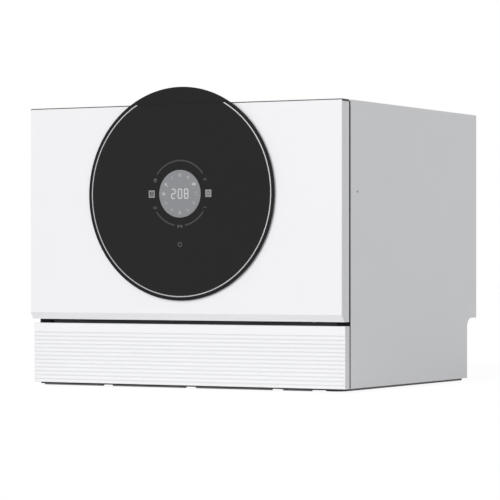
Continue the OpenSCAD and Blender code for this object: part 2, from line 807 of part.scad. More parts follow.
// Drain pump on the other side of the well
module drain_pump() {
    x0 = -well_r - 8 - fit;
    color([0.25, 0.35, 0.5]) {
        translate([0, cup_y, pump_z]) rotate([0, -90, 0]) rotate_extrude()
            polygon([
                [0, -x0 + 4], [12, -x0 + 4], [12, -x0], [15, -x0], [15, -x0 + 4], [26, -x0 + 4],
                [26, -x0 + 22], [20, -x0 + 24], [20, -x0 + 52], [16, -x0 + 56], [0, -x0 + 56]
            ]);
        bar_y([x0 - 13, cup_y + 16, pump_z], 24, 8);
        // iron core round the rotor, with its coil on top
        along_x(x0 - 48, 16) rect(cup_y - 22, pump_z - 22, cup_y + 22, pump_z + 38);
        along_x(x0 - 55, 30) round_rect(cup_y - 13, pump_z + 22, cup_y + 13, pump_z + 35, 5);
        for (x = [x0 - 44, x0 - 20])
            block([x, cup_y - 14, skirt_z], [x + 8, cup_y + 14, pump_z - 16]);
    }
}

// Corrugated hose from the drain pump to the rear spigot
module drain_hose() {
    y0 = cup_y + 40 + fit;
    y1 = recess_y - sheet - 14;
    n = 24;
    step = (y1 - y0 - 16) / n;
    color([0.5, 0.5, 0.5]) translate([spigot_x, y0, pump_z]) rotate([-90, 0, 0])
        rotate_extrude() polygon(concat(
            [[7, 0], [9, 0], [9, 8]],
            [for (i = [0:n - 1], p = [[8.4, 0.2], [hose_r, 0.4], [hose_r, 0.75], [8.4, 0.95]])
                [p.x, 8 + step * (i + p.y)]],
            [[9, y1 - y0 - 8], [9, y1 - y0], [7, y1 - y0]]
        ));
}

// Fill valve with its threaded inlet in the rear recess
module inlet_valve() {
    y0 = recess_y - sheet;
    color([0.9, 0.9, 0.88]) translate([valve_x, 0, pump_z]) {
        difference() {
            union() {
                bar_y([0, y0 - 4, 0], sheet + 18, valve_r);
                bar_y([0, y0 - 6, 0], 6, valve_r + 7);
                block([-valve_half, y0 - 44, -valve_half], [valve_half, y0 - 5, valve_half]);
            }
            bar_y([0, recess_y - 2, 0], 20, 9.5);
        }
        bar_z([0, y0 - 26, 14], 22, 13);
        bar_z([0, y0 - 26, 14], 5, 15);
        bar_z([0, y0 - 26, 35], 4, 5);
        for (s = [-1, 1]) block([s * 9 - 0.4, y0 - 29, 35], [s * 9 + 0.4, y0 - 23, 43]);
    }
}

// Barbed spigot for the drain hose in the rear recess
module drain_spigot() {
    y0 = recess_y - sheet;
    color([0.2, 0.2, 0.22]) translate([spigot_x, y0, pump_z]) rotate([-90, 0, 0])
        rotate_extrude() polygon([
            [6, -13], [7.5, -13], [barb_r, -5], [barb_r + 6, -5], [barb_r + 6, 0],
            [barb_r, 0], [barb_r, 22], [barb_r - 1.5, 24], [6, 24]
        ]);
}

// Bush that the mains lead leaves through
module cord_gland() {
    y0 = recess_y - sheet;
    color([0.15, 0.15, 0.15]) translate([gland_x, y0, pump_z]) rotate([-90, 0, 0])
        rotate_extrude() polygon([
            [cord_r, -10], [gland_r + 3, -10], [gland_r + 3, 0], [gland_r, 0],
            [gland_r, sheet], [gland_r + 2, sheet + fit], [gland_r - 1, 10], [cord_r, 10]
        ]);
}

// Flat moulded water box on the left of the tub, with its vent into the tub
module air_breaker() {
    x1 = -tub_x - 3;
    x0 = -inner_x + 7;
    z0 = tub_z0 + 20;
    z1 = tub_z1 - 30;
    color([0.8, 0.82, 0.85]) difference() {
        union() {
            along_x(x0, x1 - x0) round_rect(vent_y - 70, z0, vent_y + 70, z1, 14);
            bar_x([x1 - 1, vent_y, vent_z], tub_side - 20, vent_r);
            bar_x([x1 - 1, vent_y, vent_z], 4 - fit, vent_r + 6);
            bar_x([-tub_xi + fit, vent_y, vent_z], 3, vent_r + 6);
        }
        bar_x([x1 - 8, vent_y, vent_z], tub_side, vent_r - 3);
        for (i = [0:4]) along_x(x0 - cut, 2 + cut) {
            y = vent_y - 56 + 24 * i;
            dz = i % 2 == 0 ? 12 : 34;
            round_rect(y, z0 + dz, y + 14, z1 - 46 + dz, 5);
        }
    }
}

// Salt container whose neck opens through the tub's floor
module softener() {
    z1 = tub_z0 - 4;
    color([0.85, 0.85, 0.82]) translate([salt_x, salt_y, 0]) difference() {
        union() {
            along_z(skirt_z + 14, z1 - skirt_z - 14) round_rect(-36, -58, 36, 50, 12);
            bar_z([0, 0, z1 - 1], tub_z0 - z1 + 1, salt_r + 8);
            bar_z([0, 0, z1 - 1], floor_z + 2 - z1 + 1, salt_r);
            for (x = [-28, 20], y = [-50, 34]) block([x, y, skirt_z], [x + 8, y + 8, skirt_z + 15]);
            for (z = spread(skirt_z + 26, z1 - 12, 5)) along_z(z, 2)
                round_rect(-37.5, -59.5, 37.5, 51.5, 13);
        }
        bar_z([0, 0, skirt_z + 18], tub_z0, salt_r - 4);
    }
}

// Screw cap of the salt container
module salt_cap() {
    z0 = floor_z + 2 + fit;
    color([0.25, 0.27, 0.3]) translate([salt_x, salt_y, 0]) {
        difference() {
            union() {
                bar_z([0, 0, z0], 6, salt_r + 4);
                bar_z([0, 0, z0 - 14], 15, salt_r - 4 - fit);
            }
            bar_z([0, 0, z0 - 15], 12, salt_r - 8);
            for (a = [0:30:330]) rotate([0, 0, a]) bar_z([salt_r + 5.5, 0, z0 - cut], 9, 2.6);
        }
        block([-salt_r + 4, -3, z0 + 5], [salt_r - 4, 3, z0 + 9]);
    }
}

// Guide and switch under the float
module float_switch() {
    color([0.9, 0.9, 0.88]) translate([float_x, float_y, 0]) difference() {
        union() {
            bar_z([0, 0, tub_z0 - 34], 34, float_r + 3);
            bar_z([0, 0, tub_z0 - 3], 3, float_r + 8);
            block([-9, 0, tub_z0 - 34], [9, 26, tub_z0 - 14]);
        }
        bar_z([0, 0, tub_z0 - 35], 36, float_r + fit);
    }
}

// Overfill float: a dome on a stem
module float() {
    z0 = floor_z + 3;
    color([0.92, 0.92, 0.9]) translate([float_x, float_y, z0]) rotate_extrude()
        polygon([
            [0, -28], [float_r, -28], [float_r, 0], [19, 0], [19, 7], [17, 10], [12, 12.5],
            [0, 13.5]
        ]);
}

// Control and mains box in the base: vented lid with a rim, and plugs along the front
module power_box() {
    box_w = 92;
    box_l = 96;
    box_h = 58;
    x0 = side_x - box_w - 38;
    y1 = base_y1 - base_t - 42;
    color([0.2, 0.2, 0.21]) difference() {
        union() {
            along_z(skirt_z, box_h) round_rect(x0, y1 - box_l, x0 + box_w, y1, 4);
            along_z(skirt_z + box_h - 12, 3)
                round_rect(x0 - 1.5, y1 - box_l - 1.5, x0 + box_w + 1.5, y1 + 1.5, 5.5);
            for (i = [0:4]) block([x0 + 6 + 17 * i, y1 - box_l - 7, skirt_z + 18],
                [x0 + 18 + 17 * i, y1 - box_l + 1, skirt_z + 32]);
        }
        for (i = [0:6]) block([x0 + 10, y1 - box_l + 10 + 12 * i, skirt_z + box_h - 4],
            [x0 + box_w - 10, y1 - box_l + 16 + 12 * i, skirt_z + box_h + 2]);
    }
}

// Steel bracket with the forward tongue that carries the door
module hinge_bracket() {
    color([0.6, 0.6, 0.62]) {
        along_x(bracket_x, bracket_t) difference() {
            union() {
                translate([hinge_y, hinge_z]) circle(boss_r);
                rect(hinge_y, hinge_z - tongue_lo, cab_y + 12, hinge_z + tongue_hi);
                polygon([
                    [cab_y + 6, base_z1], [cab_y + 64, base_z1], [cab_y + 64, base_z1 + 46],
                    [cab_y + 44, base_z1 + 92], [cab_y + 6, base_z1 + 92]
                ]);
            }
            translate([hinge_y, hinge_z]) circle(pin_r + run);
            translate([cab_y + 40, base_z1 + 40]) circle(9);
        }
        block([bracket_x, cab_y + 8, base_z1], [bracket_x + flange_w, cab_y + 60, base_z1 + 2.5]);
    }
}

// Housing with the pivot of the latch hook, above the tub's mouth
module latch_housing() {
    z0 = tub_z1;
    color([0.22, 0.22, 0.24]) {
        block([-24, hook_y - 16, z0], [24, hook_y + 18, z0 + 1.5]);
        for (s = [-1, 1]) along_x(s > 0 ? hook_w / 2 + 0.4 : -hook_w / 2 - 2.4, 2) difference() {
            union() {
                rect(hook_y - 8, z0, hook_y + 12, hook_z);
                translate([hook_y, hook_z]) circle(4);
                rect(hook_y, z0, hook_y + 12, hook_z + 4);
            }
        }
        bar_x([-hook_w / 2 - 1, hook_y, hook_z], hook_w + 2, hook_pin_r);
    }
}

// Hook that drops behind the door's strike
module latch_hook() {
    color([0.7, 0.55, 0.2]) along_x(-hook_w / 2, hook_w) difference() {
        union() {
            translate([hook_y, hook_z]) circle(3.4);
            rect(hook_y - 20, hook_z - 1.6, hook_y, hook_z + 1.8);
            polygon([
                [hook_y - 20.5, hook_z + 1.8], [hook_y - 20.5, hook_z - 2.2],
                [hook_y - 18, hook_z - 3.4], [hook_y - 15.5, hook_z - 2.6],
                [hook_y - 14, hook_z + 1.8]
            ]);
        }
        translate([hook_y, hook_z]) circle(hook_pin_r + run);
    }
}

// Two dots on the sides and the screws along the rear
module panel_screws() {
    color([0.3, 0.3, 0.31]) {
        for (s = [-1, 1]) mirrored(s) {
            bar_x([side_x - sheet - 6, dot_y, dot_z], sheet + 5.9, dot_r);
            for (z = spread(recess_h + 30, body_h - 24, 4))
                screw_y([side_x - flange_w - 10, back_y, z]);
        }
        for (x = spread(-side_x + 60, side_x - 60, 4)) screw_y([x, back_y, body_h - 10]);
    }
}

// Pan-head screw on a face that looks along +y
module screw_y(p) {
    h = screw_h;
    translate(p) rotate([-90, 0, 0]) rotate_extrude()
        polygon([[0, 0], [3.6, 0], [3.4, 0.6 * h], [2.2, 0.95 * h], [0.8, h], [0.8, h / 2], [0, h / 2]]);
}

// ---- door ----

// Side outline of the door in (y, z); the wall offsets the front, the chamfer and the bottom
module door_outline(wall) {
    k = 1 + wall * norm([1 / chamfer_d, 1 / chamfer_h]);
    y_low = front_y + chamfer_d * (k - wall / chamfer_h);
    z_high = door_z0 + chamfer_h * (k - wall / chamfer_d);
    back = door_back + (wall > 0 ? cut : 0);
    top = cap_z + (wall > 0 ? cut : 0);
    polygon([
        [y_low, door_z0 + wall], [back, door_z0 + wall], [back, top],
        [front_y + wall, top], [front_y + wall, z_high]
    ]);
}

// White front moulding, open at the back and the top
module door_panel() {
    color([0.955, 0.955, 0.96]) difference() {
        intersection() {
            along_x(-side_x, body_w) door_outline(0);
            along_z(0, body_h) difference() {
                round_rect(-side_x, front_y, side_x, door_back + 20, door_edge_r);
                rect(-side_x - cut, door_back, side_x + cut, door_back + 30);
            }
        }
        along_x(-side_x + door_wall, body_w - 2 * door_wall) door_outline(door_wall);
        translate([0, 0, disc_z]) bar_y([0, front_y - cut, 0], door_wall + 2 * cut, spigot_r);
        for (s = [-1, 1]) mirrored(s)
            block([bracket_x - 1, hinge_y - tongue_lo - 0.5, door_z0 - cut],
                [bracket_x + bracket_t + 1, door_back + cut, door_z0 + door_wall + cut]);
    }
}

// Dark cap that closes the top of the door
module door_top_cap() {
    skirt = 6;
    x0 = side_x - door_wall - fit;
    color([0.2, 0.2, 0.21]) {
        along_z(cap_z, cap_t) difference() {
            round_rect(-side_x, front_y, side_x, door_back + 20, door_edge_r);
            rect(-side_x - cut, door_back, side_x + cut, door_back + 30);
        }
        along_z(cap_z - skirt, skirt) difference() {
            rect(-x0, front_y + door_wall + fit, x0, liner_y - fit);
            rect(-x0 + door_wall, front_y + 2 * door_wall + fit, x0 - door_wall,
                liner_y - fit - door_wall);
        }
    }
}

// Black moulding of the disc: bezel, tapered back edge and the handle above the door
module disc_rim() {
    edge = 0.5;
    back_y = front_y + lip_d;
    color([0.13, 0.13, 0.135]) translate([0, 0, disc_z]) difference() {
        union() {
            translate([0, disc_y, 0]) rotate([-90, 0, 0]) rotate_extrude($fn = 180)
                polygon([
                    [0, 0], [disc_r - edge, 0], [disc_r, edge],
                    [disc_r - taper * (disc_proud - edge), disc_proud], [0, disc_proud]
                ]);
            handle_lip(edge, back_y);
        }
        // pocket for the glass and the ring, below the handle
        intersection() {
            bar_y([0, disc_y - cut, 0], glass_t + cut, ring_r1 + 0.1);
            block([-disc_r, disc_y - cut, -disc_r], [disc_r, front_y, chord_z - disc_z]);
        }
        bar_y([0, disc_y - cut, 0], disc_proud + 2 * cut, window_r + window_rim + 0.3);
    }
}

// Lip along the top of the handle, tapered so that it hides behind the disc
module handle_lip(edge, back_y) {
    lip_t = 3.5;
    d0 = disc_proud - 0.5;
    d1 = back_y - disc_y;
    intersection() {
        translate([0, disc_y, 0]) rotate([-90, 0, 0]) rotate_extrude($fn = 180)
            polygon([
                [disc_r - taper * (d0 - edge) - lip_t, d0], [disc_r - taper * (d0 - edge), d0],
                [disc_r - taper * (d1 - edge), d1], [disc_r - taper * (d1 - edge) - lip_t, d1]
            ]);
        block([-disc_r, disc_y, body_h - disc_z + 0.6], [disc_r, back_y + 1, disc_r]);
    }
}

// Silver ring let in round the glass, up to the handle
module disc_trim_ring() {
    color([0.7, 0.7, 0.71]) translate([0, 0, disc_z]) intersection() {
        ring_y(disc_y, glass_t, ring_r1, ring_r0);
        block([-disc_r, disc_y - cut, -disc_r], [disc_r, front_y, chord_z - disc_z - 0.2]);
    }
}

// Black glass with the opening for the display
module disc_glass() {
    color([0.15, 0.15, 0.155]) translate([0, 0, disc_z]) intersection() {
        ring_y(disc_y, glass_t, ring_r0 - 0.1, window_r + 0.1);
        block([-disc_r, disc_y - cut, -disc_r], [disc_r, front_y, chord_z - disc_z - 0.2]);
    }
}

// Smoked round window, stepped so that the glass holds it
module display_window() {
    color([0.5, 0.5, 0.51]) translate([0, disc_y, disc_z]) rotate([-90, 0, 0]) rotate_extrude()
        polygon([
            [0, 0], [window_r, 0], [window_r, glass_t + 0.1],
            [window_r + window_rim, glass_t + 0.1], [window_r + window_rim, disc_proud], [0, disc_proud]
        ]);
}

// Cup behind the disc that holds the board
module disc_housing() {
    r = spigot_r - fit;
    color([0.18, 0.18, 0.19]) translate([0, 0, disc_z]) {
        ring_y(front_y, housing_y1 - front_y, r, r - 2.5);
        bar_y([0, housing_y1 - 2, 0], 2, r - 1);
        for (a = [45:90:315]) bar_y([62 * cos(a), front_y + 7, 62 * sin(a)],
            housing_y1 - front_y - 8, 4);
    }
}

// Display and touch board behind the window
module display_board() {
    color([0.1, 0.35, 0.2]) translate([0, 0, disc_z]) {
        along_y(front_y + 5.4, 1.6) round_rect(-70, -70, 70, 70, 20);
        along_y(front_y + 1, 4.5) round_rect(-30, -22, 30, 22, 3);
        along_y(front_y + 6.9, 6) rect(-18, -56, 18, -44);
    }
}

// Pressed inner door: flat edge, raised pan, openings for dispenser and hinges
module door_liner() {
    z0 = door_z0 + door_wall + 0.4;
    z1 = cap_z - fit;
    r = tub_r - 4;
    color([0.78, 0.79, 0.8]) difference() {
        union() {
            along_y(liner_y, sheet) rect(-liner_x, z0, liner_x, z1);
            along_y(liner_y, pan_d + sheet) round_rect(-pan_x, pan_z0, pan_x, pan_z1, r);
        }
        along_y(liner_y - cut, pan_d + cut)
            round_rect(-pan_x + sheet, pan_z0 + sheet, pan_x - sheet, pan_z1 - sheet, r - sheet);
        along_y(pan_y - sheet - cut, sheet + 2 * cut) rect(-tray_w / 2 + tray_lap - 0.5,
            tray_z - tray_h / 2 + tray_lap - 0.5, tray_w / 2 - tray_lap + 0.5,
            tray_z + tray_h / 2 - tray_lap + 0.5);
        for (s = [-1, 1]) mirrored(s)
            block([bracket_x - 1, liner_y - cut, door_z0], [bracket_x + bracket_t + 1,
                door_back + cut, hinge_z + tongue_hi + 1.5]);
    }
}

// Rubber strip that closes the lower edge of the tub's mouth
module sill_seal() {
    z0 = hinge_z + 9;
    color([0.32, 0.32, 0.33]) along_x(-pan_x, 2 * pan_x)
        polygon([
            [door_back, z0], [door_back + seal_t * 0.5, z0 - 1], [door_back + seal_t, z0 + 2],
            [door_back + seal_t * 0.6, z0 + 4], [door_back + seal_t * 0.5, z0 + 9],
            [door_back, z0 + 9]
        ]);
}

// Steel arm inside the door, with the pin that turns in the bracket
module hinge_arm() {
    y0 = front_y + door_wall + 1.5;
    y1 = liner_y - fit;
    color([0.55, 0.55, 0.57]) {
        along_x(arm_x, arm_t) {
            translate([hinge_y, hinge_z]) circle(boss_r);
            rect(hinge_y - boss_r, hinge_z, hinge_y + boss_r, hinge_z + 40);
            rect(y0, hinge_z + 24, y1, hinge_z + 120);
        }
        bar_x([bracket_x - 1.5, hinge_y, hinge_z], arm_x + arm_t / 2 - bracket_x + 1.5, pin_r);
        block([arm_x, y1 - 2, hinge_z + 30], [liner_x - 4, y1, hinge_z + 120]);
    }
}

// Steel loop on the inner door that the hook holds
module latch_strike() {
    color([0.65, 0.65, 0.67]) {
        block([-strike_half - 8, door_back, latch_z - 4], [strike_half + 8, door_back + 1.5, latch_z + 4]);
        for (s = [-1, 1]) along_x(s > 0 ? strike_half - 2 : -strike_half, 2) {
            rect(door_back + 0.5, latch_z - 2.5, strike_y, latch_z + 2.5);
            translate([strike_y, latch_z]) circle(2.5);
        }
        bar_x([-strike_half + 1, strike_y, latch_z], 2 * strike_half - 2, strike_r);
    }
}

// Detergent and rinse-aid dispenser let into the inner door
module detergent_tray() {
    y0 = pan_y - tray_deep;
    color([0.9, 0.9, 0.9]) difference() {
        union() {
            along_y(pan_y, tray_flange) round_rect(-tray_w / 2, tray_z - tray_h / 2, tray_w / 2,
                tray_z + tray_h / 2, 8);
            along_y(y0, tray_deep) rect(-tray_w / 2 + tray_lap, tray_z - tray_h / 2 + tray_lap,
                tray_w / 2 - tray_lap, tray_z + tray_h / 2 - tray_lap);
            for (s = [-1, 1]) along_x(chamber_x - chamber_w / 2 - 4, chamber_w + 8) {
                mid = tray_z + s * (chamber_h / 2 + lid_lap + fit);
                rect(pan_y + 1, min(mid, mid + 3 * s), pan_y + tray_flange + lid_t + 2.2,
                    max(mid, mid + 3 * s));
                rect(pan_y + tray_flange + lid_t + 2 * fit, min(mid - s, mid + 3 * s),
                    pan_y + tray_flange + lid_t + 2.2, max(mid - s, mid + 3 * s));
            }
        }
        along_y(y0 + 2, tray_deep + tray_flange) round_rect(chamber_x - chamber_w / 2,
            tray_z - chamber_h / 2, chamber_x + chamber_w / 2, tray_z + chamber_h / 2, 5);
        bar_y([knob_x, y0 + 2, knob_z], tray_deep + tray_flange, 11);
        bar_y([knob_x, y0 + 2, button_z], tray_deep + tray_flange, button_r + fit);
    }
}

// Sliding lid over the detergent chamber
module detergent_lid() {
    y0 = pan_y + tray_flange + fit;
    z = chamber_h / 2 + lid_lap;
    color([0.75, 0.78, 0.82]) {
        along_y(y0, lid_t - fit / 2) round_rect(chamber_x - chamber_w / 2 - 3, tray_z - z,
            chamber_x + chamber_w / 2 + 3, tray_z + z, 3);
        for (i = [0:2]) block([chamber_x + 12 + 5 * i, y0 + lid_t - 1, tray_z - 14],
            [chamber_x + 14 + 5 * i, y0 + lid_t + 2, tray_z + 14]);
    }
}

// Push button that frees the lid
module dispenser_button() {
    color([0.3, 0.45, 0.65]) bar_y([knob_x, pan_y - 8, button_z], 8 + tray_flange + button_travel + 1,
        button_r);
}

// Turning cap of the rinse-aid tank
module rinse_cap() {
    y0 = pan_y + tray_flange + fit;
    color([0.3, 0.33, 0.36]) translate([knob_x, 0, knob_z]) {
        bar_y([0, y0 - 12, 0], 13, 11 - fit);
        difference() {
            bar_y([0, y0, 0], 4, knob_r);
            for (a = [0:45:315]) rotate([0, a, 0]) bar_y([knob_r + 1, y0 - cut, 0], 8, 2.4);
        }
        block([-knob_r + 3, y0 + 3, -2.5], [knob_r - 3, y0 + 6.5, 2.5]);
    }
}

// Screws round the inner door
module door_screws() {
    color([0.6, 0.6, 0.62]) {
        for (s = [-1, 1], z = spread(hinge_z + 60, cap_z - 24, 4))
            screw_y([s * (liner_x - 6), door_back, z]);
        for (x = [-160, -70, 70, 160]) screw_y([x, door_back, cap_z - 7]);
    }
}

// ---- rack ----

// Wire basket: welded mats for the floor and the walls, wheel carriers and shelf bearings
module rack_basket() {
    color([0.75, 0.76, 0.78]) {
        rack_floor();
        for (y = [rack_y0, rack_y1]) rack_end(y);
        for (s = [-1, 1]) mirrored(s) {
            rack_side();
            for (y = [wheel_y0, wheel_y1]) wheel_carrier(y);
            for (y = [shelf_y - shelf_post, shelf_y + shelf_post]) shelf_bearing(y);
        }
    }
}

// Heights of the bands that run round the basket under its rim
function rack_bands() = [rack_z + band_up, rack_z + rack_h * 0.45];

// Floor mat: wires front to back, welded under the wires that run side to side
module rack_floor() {
    for (x = rack_columns()) wire([x, rack_y0, rack_z], [x, rack_y1, rack_z]);
    for (y = rack_rows()) wire([-rack_x, y, rack_z2], [rack_x, y, rack_z2]);
}

// Front or rear mat: its wires stand on the ends of the floor wires
module rack_end(y) {
    out = y + sign(y) * band_out;
    for (x = rack_columns()) wire([x, y, rack_z + wire_d / 2 + weld], [x, y, rack_top]);
    for (z = rack_bands()) wire([-rack_x - band_out, out, z], [rack_x + band_out, out, z]);
    wire([-rack_x - rim_d / 3, y, rack_top], [rack_x + rim_d / 3, y, rack_top], rim_d);
}

// Side mat, let in between the two end mats
module rack_side() {
    end = band_out - wire_d / 2 - weld;
    rim_end = rim_d / 2 + weld;
    for (y = rack_rows())
        wire([rack_x, y, rack_z2 + wire_d / 2 + weld], [rack_x, y, rack_top]);
    for (z = rack_bands())
        wire([rack_x + band_out, rack_y0 - end, z], [rack_x + band_out, rack_y1 + end, z]);
    wire([rack_x, rack_y0 + rim_end, rack_top], [rack_x, rack_y1 - rim_end, rack_top], rim_d);
}

function rack_columns() = spread(-rack_x + 8, rack_x - 8, wires_x);
function rack_rows() = spread(rack_y0 + 14, rack_y1 - 14, wires_y);

// Plate clipped over the lower band, with the axle of one wheel
module wheel_carrier(y) {
    band = rack_z + band_up;
    lip = wire_d / 2 + weld;
    x0 = rack_x + band_out + lip;
    x1 = wheel_x - wheel_w / 2 - 0.4;
    x2 = wheel_x + wheel_w / 2 + 0.4;
    along_x(x0, 3) round_rect(y - 16, axle_z - 7, y + 16, band + lip + 2.5, 5);
    for (z = [band - lip - 2, band + lip])
        block([rack_x + band_out - lip, y - 14, z], [x0 + 1, y + 14, z + 2]);
    bar_x([x0 + 1, y, axle_z], x1 - x0 - 1, axle_r + 2);
    bar_x([x0 + 1, y, axle_z], x2 - x0 + 0.5, axle_r);
    bar_x([x2, y, axle_z], 1.5, axle_r + 2);
}

// Post on the rim and bearing block that a cup shelf turns in
module shelf_bearing(y) {
    wire([rack_x, y, rack_top + rim_d / 2 + weld], [rack_x, y, shelf_z - pivot_r - 1]);
    difference() {
        block([shelf_x - 5, y - 4, shelf_z - 5], [rack_x + 2, y + 4, shelf_z + 5]);
        bar_y([shelf_x, y - 5, shelf_z], 10, pivot_r + fit / 2);
    }
}

// Grip that clips over the front rim, with room for the fingers under it
module rack_handle() {
    y0 = rack_y0 - 4;
    clip_z = rack_top + rim_d / 2 + weld;
    grip_z = clip_z + grip_room;
    half = grip_w / 2;
    color([0.55, 0.57, 0.6]) {
        along_x(-half, grip_w) hull() for (p = [[y0 + 3.5, grip_z + 3.5], [y0 + 8, grip_z + 4.5]])
            translate(p) circle(3.5, $fn = 32);
        for (s = [-1, 1]) mirrored(s) {
            along_x(half - 7, 7) rect(y0 + 1.5, clip_z, y0 + 8, grip_z + 4);
            along_x(half - 16, 16) difference() {
                rect(y0, rack_top - 5, y0 + 8, clip_z + 3);
                rect(rack_y0 - rim_d / 2 - weld, rack_top - 6, rack_y0 + rim_d / 2 + weld, clip_z);
            }
        }
    }
}

// Rows of plate tines: each tine stands on the rail of its row
module rack_tines() {
    rail_z = rack_z + wire_d + weld;
    x0 = -rack_x + 16;
    color([0.75, 0.76, 0.78]) for (y = tine_rows()) {
        wire([x0 - 6, y, rail_z], [x0 + (tine_n - 1) * tine_pitch + 6, y, rail_z]);
        for (i = [0:tine_n - 1]) {
            x = x0 + i * tine_pitch;
            wire([x, y, rail_z + wire_d / 2 + fit], [x, y + 9, rail_z + tine_l]);
        }
    }
}

function tine_rows() = [for (k = [1, 3, 5]) rack_y0 + 14 + (k + 0.5) * bed_step];

// Cutlery basket with two rows of cells and slotted walls
module cutlery_basket() {
    n = 5;
    cell = 37;
    t = 2;
    x1 = rack_x - 8;
    x0 = x1 - 2 * cell;
    y0 = rack_y0 + 10;
    y1 = y0 + n * cell;
    z0 = bed_z + fit;
    z1 = min(z0 + 104, shelf_z - 6);
    color([0.55, 0.57, 0.6]) difference() {
        along_z(z0, z1 - z0) round_rect(x0, y0, x1, y1, 8);
        for (i = [0:n - 1], s = [0, 1]) block([x0 + t + s * (cell - t / 2), y0 + t + i * cell, z0 + t],
            [x0 + (s + 1) * (cell - t / 2), y0 + (i + 1) * cell - t / 2, z1 + cut]);
        for (i = [0:n - 1], k = [0:3], z = [z0 + 14, z0 + 58])
            block([x0 - cut, y0 + 6 + i * cell + k * 7, z], [x1 + cut, y0 + 9.5 + i * cell + k * 7, z + 34]);
    }
}

// Folding shelf for cups; the pivot rod lies along y at the rack's side
module cup_shelf() {
    y0 = shelf_y - shelf_l / 2;
    y1 = shelf_y + shelf_l / 2;
    x0 = shelf_x - shelf_w;
    color([0.8, 0.81, 0.83]) {
        bar_y([shelf_x, y0, shelf_z], shelf_l, pivot_r);
        wire([x0, y0 - 1, shelf_z], [x0, y1 + 1, shelf_z]);
        wire([shelf_x - shelf_w * 0.55, y0, shelf_z], [shelf_x - shelf_w * 0.55, y1, shelf_z]);
        for (y = concat([y0 + 1.5], spread(y0 + 34, y1 - 34, 6), [y1 - 1.5]))
            wire([x0 - 1, y, shelf_z + 0.9], [shelf_x, y, shelf_z + 0.9]);
    }
}

// One pair of rack wheels
module wheel_pair(y) {
    color([0.85, 0.85, 0.83]) for (s = [-1, 1]) mirrored(s)
        translate([wheel_x - wheel_w / 2, y, axle_z]) rotate([0, 90, 0]) rotate_extrude()
            polygon([
                [axle_r + run, 0], [6, 0], [6, 1.2], [wheel_r - 3, 1.2], [wheel_r - 3, 0],
                [wheel_r - 0.7, 0], [wheel_r, 0.7], [wheel_r, wheel_w - 0.7],
                [wheel_r - 0.7, wheel_w], [wheel_r - 3, wheel_w], [wheel_r - 3, wheel_w - 1.2],
                [6, wheel_w - 1.2], [6, wheel_w], [axle_r + run, wheel_w]
            ]);
}

// ---- nodes ----

base_tray();
feet();
mirrored(-1) side_panel();  // side_panel_left
side_panel();  // side_panel_right
top_panel();
rear_panel();
kick_panel();
tub();
tub_gasket();
mirrored(-1) runner();  // runner_left
runner();  // runner_right
sump();
main_filter();
spray_hub();
wash_pump();
drain_pump();
drain_hose();
heater();
inlet_valve();
drain_spigot();
cord_gland();
air_breaker();
softener();
float_switch();
power_box();
mirrored(-1) hinge_bracket();  // hinge_bracket_left
hinge_bracket();  // hinge_bracket_right
latch_housing();
panel_screws();
door_panel();
door_top_cap();
disc_rim();
disc_trim_ring();
disc_glass();
display_window();
disc_housing();
display_board();
door_liner();
sill_seal();
mirrored(-1) hinge_arm();  // hinge_arm_left
hinge_arm();  // hinge_arm_right
latch_strike();
detergent_tray();
door_screws();
detergent_lid();
dispenser_button();
rinse_cap();
latch_hook();
filter_cup();
spray_arm();
salt_cap();
float();
rack_basket();
rack_handle();
rack_tines();
cutlery_basket();
mirrored(-1) cup_shelf();  // cup_shelf_left
cup_shelf();  // cup_shelf_right
wheel_pair(wheel_y0);  // wheels_front
wheel_pair(wheel_y1);  // wheels_rear
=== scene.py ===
"""Looks for the countertop dishwasher: studio, materials, and the pieces that dress the frame."""

import math

import bmesh
import bpy
from mathutils import Matrix, Vector


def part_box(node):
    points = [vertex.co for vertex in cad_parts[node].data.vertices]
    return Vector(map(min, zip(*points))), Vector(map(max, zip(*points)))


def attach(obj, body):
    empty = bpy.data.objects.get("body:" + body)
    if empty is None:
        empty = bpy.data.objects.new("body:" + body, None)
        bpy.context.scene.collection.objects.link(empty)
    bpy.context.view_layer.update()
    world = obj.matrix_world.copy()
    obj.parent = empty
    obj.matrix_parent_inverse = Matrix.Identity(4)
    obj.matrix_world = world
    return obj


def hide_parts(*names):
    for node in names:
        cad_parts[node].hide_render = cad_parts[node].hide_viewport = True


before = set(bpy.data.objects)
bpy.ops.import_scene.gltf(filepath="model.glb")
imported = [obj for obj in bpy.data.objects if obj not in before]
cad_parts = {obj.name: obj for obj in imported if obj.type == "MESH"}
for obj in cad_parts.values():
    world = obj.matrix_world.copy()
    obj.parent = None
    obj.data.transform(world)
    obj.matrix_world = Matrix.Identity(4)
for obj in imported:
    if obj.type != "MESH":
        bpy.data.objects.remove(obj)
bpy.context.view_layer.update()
scene = bpy.context.scene
MM = 0.001

# ---- Camera ----
# A level camera at the height of the rack, to the right of the door, with a long lens.
# The machine stands a little above the middle of the picture.
AZIMUTH = math.radians(28.446)
CAMERA_PLACE = (1.97589, -3.6738, 0.19013)
LENS = 185.72
SHIFT_UP = 0.0312
camera = bpy.data.objects.new("camera", bpy.data.cameras.new("camera"))
scene.collection.objects.link(camera)
camera.location = CAMERA_PLACE
camera.rotation_euler = (math.pi / 2, 0, AZIMUTH)
camera.data.sensor_width = 36
camera.data.lens = LENS
camera.data.shift_y = SHIFT_UP
camera.data.clip_end = 50
scene.camera = camera

# ---- Studio ----
# A white room: a pale floor that keeps a faint shadow, even light from all round, and one
# broad lamp at the front left that makes the door brighter than the right side.
ROOM_LIGHT = 0.44
KEY_STRENGTH = 1.62
KEY_BREADTH = math.radians(50)
KEY_TURN = (math.radians(70), 0, math.radians(-6))
FLOOR_SIZE = 30.0
FLOOR_GLOW = 0.88
GLOW_STRENGTH = 1.06
PAPER_WHITE = (0.9, 0.9, 0.9, 1)


